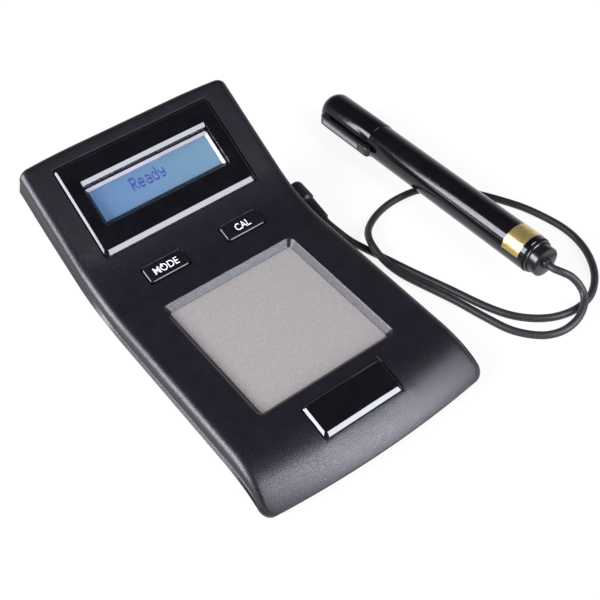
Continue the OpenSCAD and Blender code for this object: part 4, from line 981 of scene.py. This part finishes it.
makeCap(penCap)
makeBarrel(penBody)
makeLabel(penBody)
makeTail(penBody)
clipFrame = penFrame @ Matrix.Rotation(math.radians(capClip["turn"]), 4, "Z")
makeClip(capClip, clipFrame)
makeStrip(capClip, clipFrame)
print("pen made")

# pieces that keep their CAD form, under the finish each one gets
keptPieces = {
    "hullBlack": ("bottom_shell", "battery_door"), "batterySkin": ("battery",), "snapBlack": ("battery_snap",),
    "rubberBlack": ("rubber_feet",), "steel": ("housing_screws", "board_screws"),
    "lensClear": ("display_lens",), "lcdBlue": ("lcd_glass",),
    "boardGreen": ("lcd_board", "key_board", "main_board"),
    "plungerGrey": ("mode_plunger", "cal_plunger"), "switchDark": ("key_switches",),
    "plateMetal": ("test_plate",), "brass": ("plate_contact", "plug_pin"), "chipBlack": ("board_chips",),
    "wireRed": ("wire_loom",), "socketBlack": ("probe_socket",),
    "plugBlack": ("plug_body", "plug_relief", "pen_grommet"), "holderGrey": ("pen_nib_holder",),
    "nibWhite": ("pen_nib",), "cartridgeClear": ("pen_cartridge",),
}


def coatNode(nodeName, finishName):
    mesh = nodes[nodeName].data
    mesh.materials.clear()
    mesh.materials.append(finishes[finishName])


for finishName, nodeNames in keptPieces.items():
    for nodeName in nodeNames:
        coatNode(nodeName, finishName)
print("kept pieces finished")

# studio: a white floor, a sky that is white low down and dark overhead, and two large soft lamps
studio = {
    "floorSize": 6.0, "floorColour": (0.9, 0.9, 0.9),
    "whiteShare": 0.88,  # the rest of the floor shows the shadows
    "skyFoot": (1, 1, 1), "footSpan": (0.04, 0.13),
    "skyEdge": (0.6, 0.6, 0.63), "skyTop": (0.02, 0.02, 0.024), "topSpan": (0.15, 0.6),
    "skyStrength": 1.0,
}
lamps = {
    "frontLamp": {"place": (0.36, -0.95, 0.66), "aim": (0.0, 0.0, 0.02), "size": (0.46, 0.95), "power": 22,
                  "tint": (0.87, 0.88, 1.0)},
    "leftLamp": {"place": (-0.96, 0.36, 0.62), "aim": (0.0, 0.0, 0.02), "size": (0.95, 0.6), "power": 32,
                 "tint": (0.93, 0.9, 1.0)},
}


def makeFloor(values):
    size = values["floorSize"]
    mesh = bpy.data.meshes.new("studioFloor")
    corners = [(-size, -size, 0), (size, -size, 0), (size, size, 0), (-size, size, 0)]
    mesh.from_pydata(corners, [], [(0, 1, 2, 3)])
    floor = putIn(bpy.data.objects.new("studioFloor", mesh))
    paper = bpy.data.materials.new("studioPaper")
    paper.use_nodes = True
    tree = paper.node_tree
    tree.nodes.clear()
    shade = addNode(tree, "BsdfDiffuse", {"Color": (*values["floorColour"], 1)}).outputs[0]
    white = addNode(tree, "Emission", {"Strength": 1}).outputs[0]
    path = addNode(tree, "LightPath").outputs
    seen = path["Is Camera Ray"]
    for ray in ("Is Glossy Ray", "Is Transmission Ray"):
        seen = addNode(tree, "Math", {0: seen, 1: path[ray]}, operation="MAXIMUM").outputs[0]
    share = addNode(tree, "Math", {0: seen, 1: values["whiteShare"]}, operation="MULTIPLY").outputs[0]
    blend = addNode(tree, "MixShader", {0: share, 1: shade, 2: white}).outputs[0]
    addNode(tree, "OutputMaterial", {"Surface": blend})
    mesh.materials.append(paper)


def makeSky(values):
    world = bpy.data.worlds.new("studioSky")
    bpy.context.scene.world = world
    world.use_nodes = True
    tree = world.node_tree
    height = placeNode(tree, "Generated", "Z")
    upper = mixNode(tree, rampNode(tree, height, values["topSpan"]), values["skyEdge"], values["skyTop"])
    # the white floor goes on into the foot of the sky
    whole = mixNode(tree, rampNode(tree, height, values["footSpan"]), values["skyFoot"], upper)
    setSockets(tree, tree.nodes["Background"], {"Color": whole, "Strength": values["skyStrength"]})


def makeLamp(name, values):
    light = bpy.data.lights.new(name, "AREA")
    light.shape = "RECTANGLE"
    light.size, light.size_y = values["size"]
    light.energy = values["power"]
    light.color = values["tint"]
    lamp = putIn(bpy.data.objects.new(name, light))
    place, aim = Vector(values["place"]), Vector(values["aim"])
    lamp.location = place
    lamp.rotation_euler = (aim - place).to_track_quat("-Z", "Y").to_euler()


makeFloor(studio)
makeSky(studio)
for lampName, lampValues in lamps.items():
    makeLamp(lampName, lampValues)
print("studio lit")
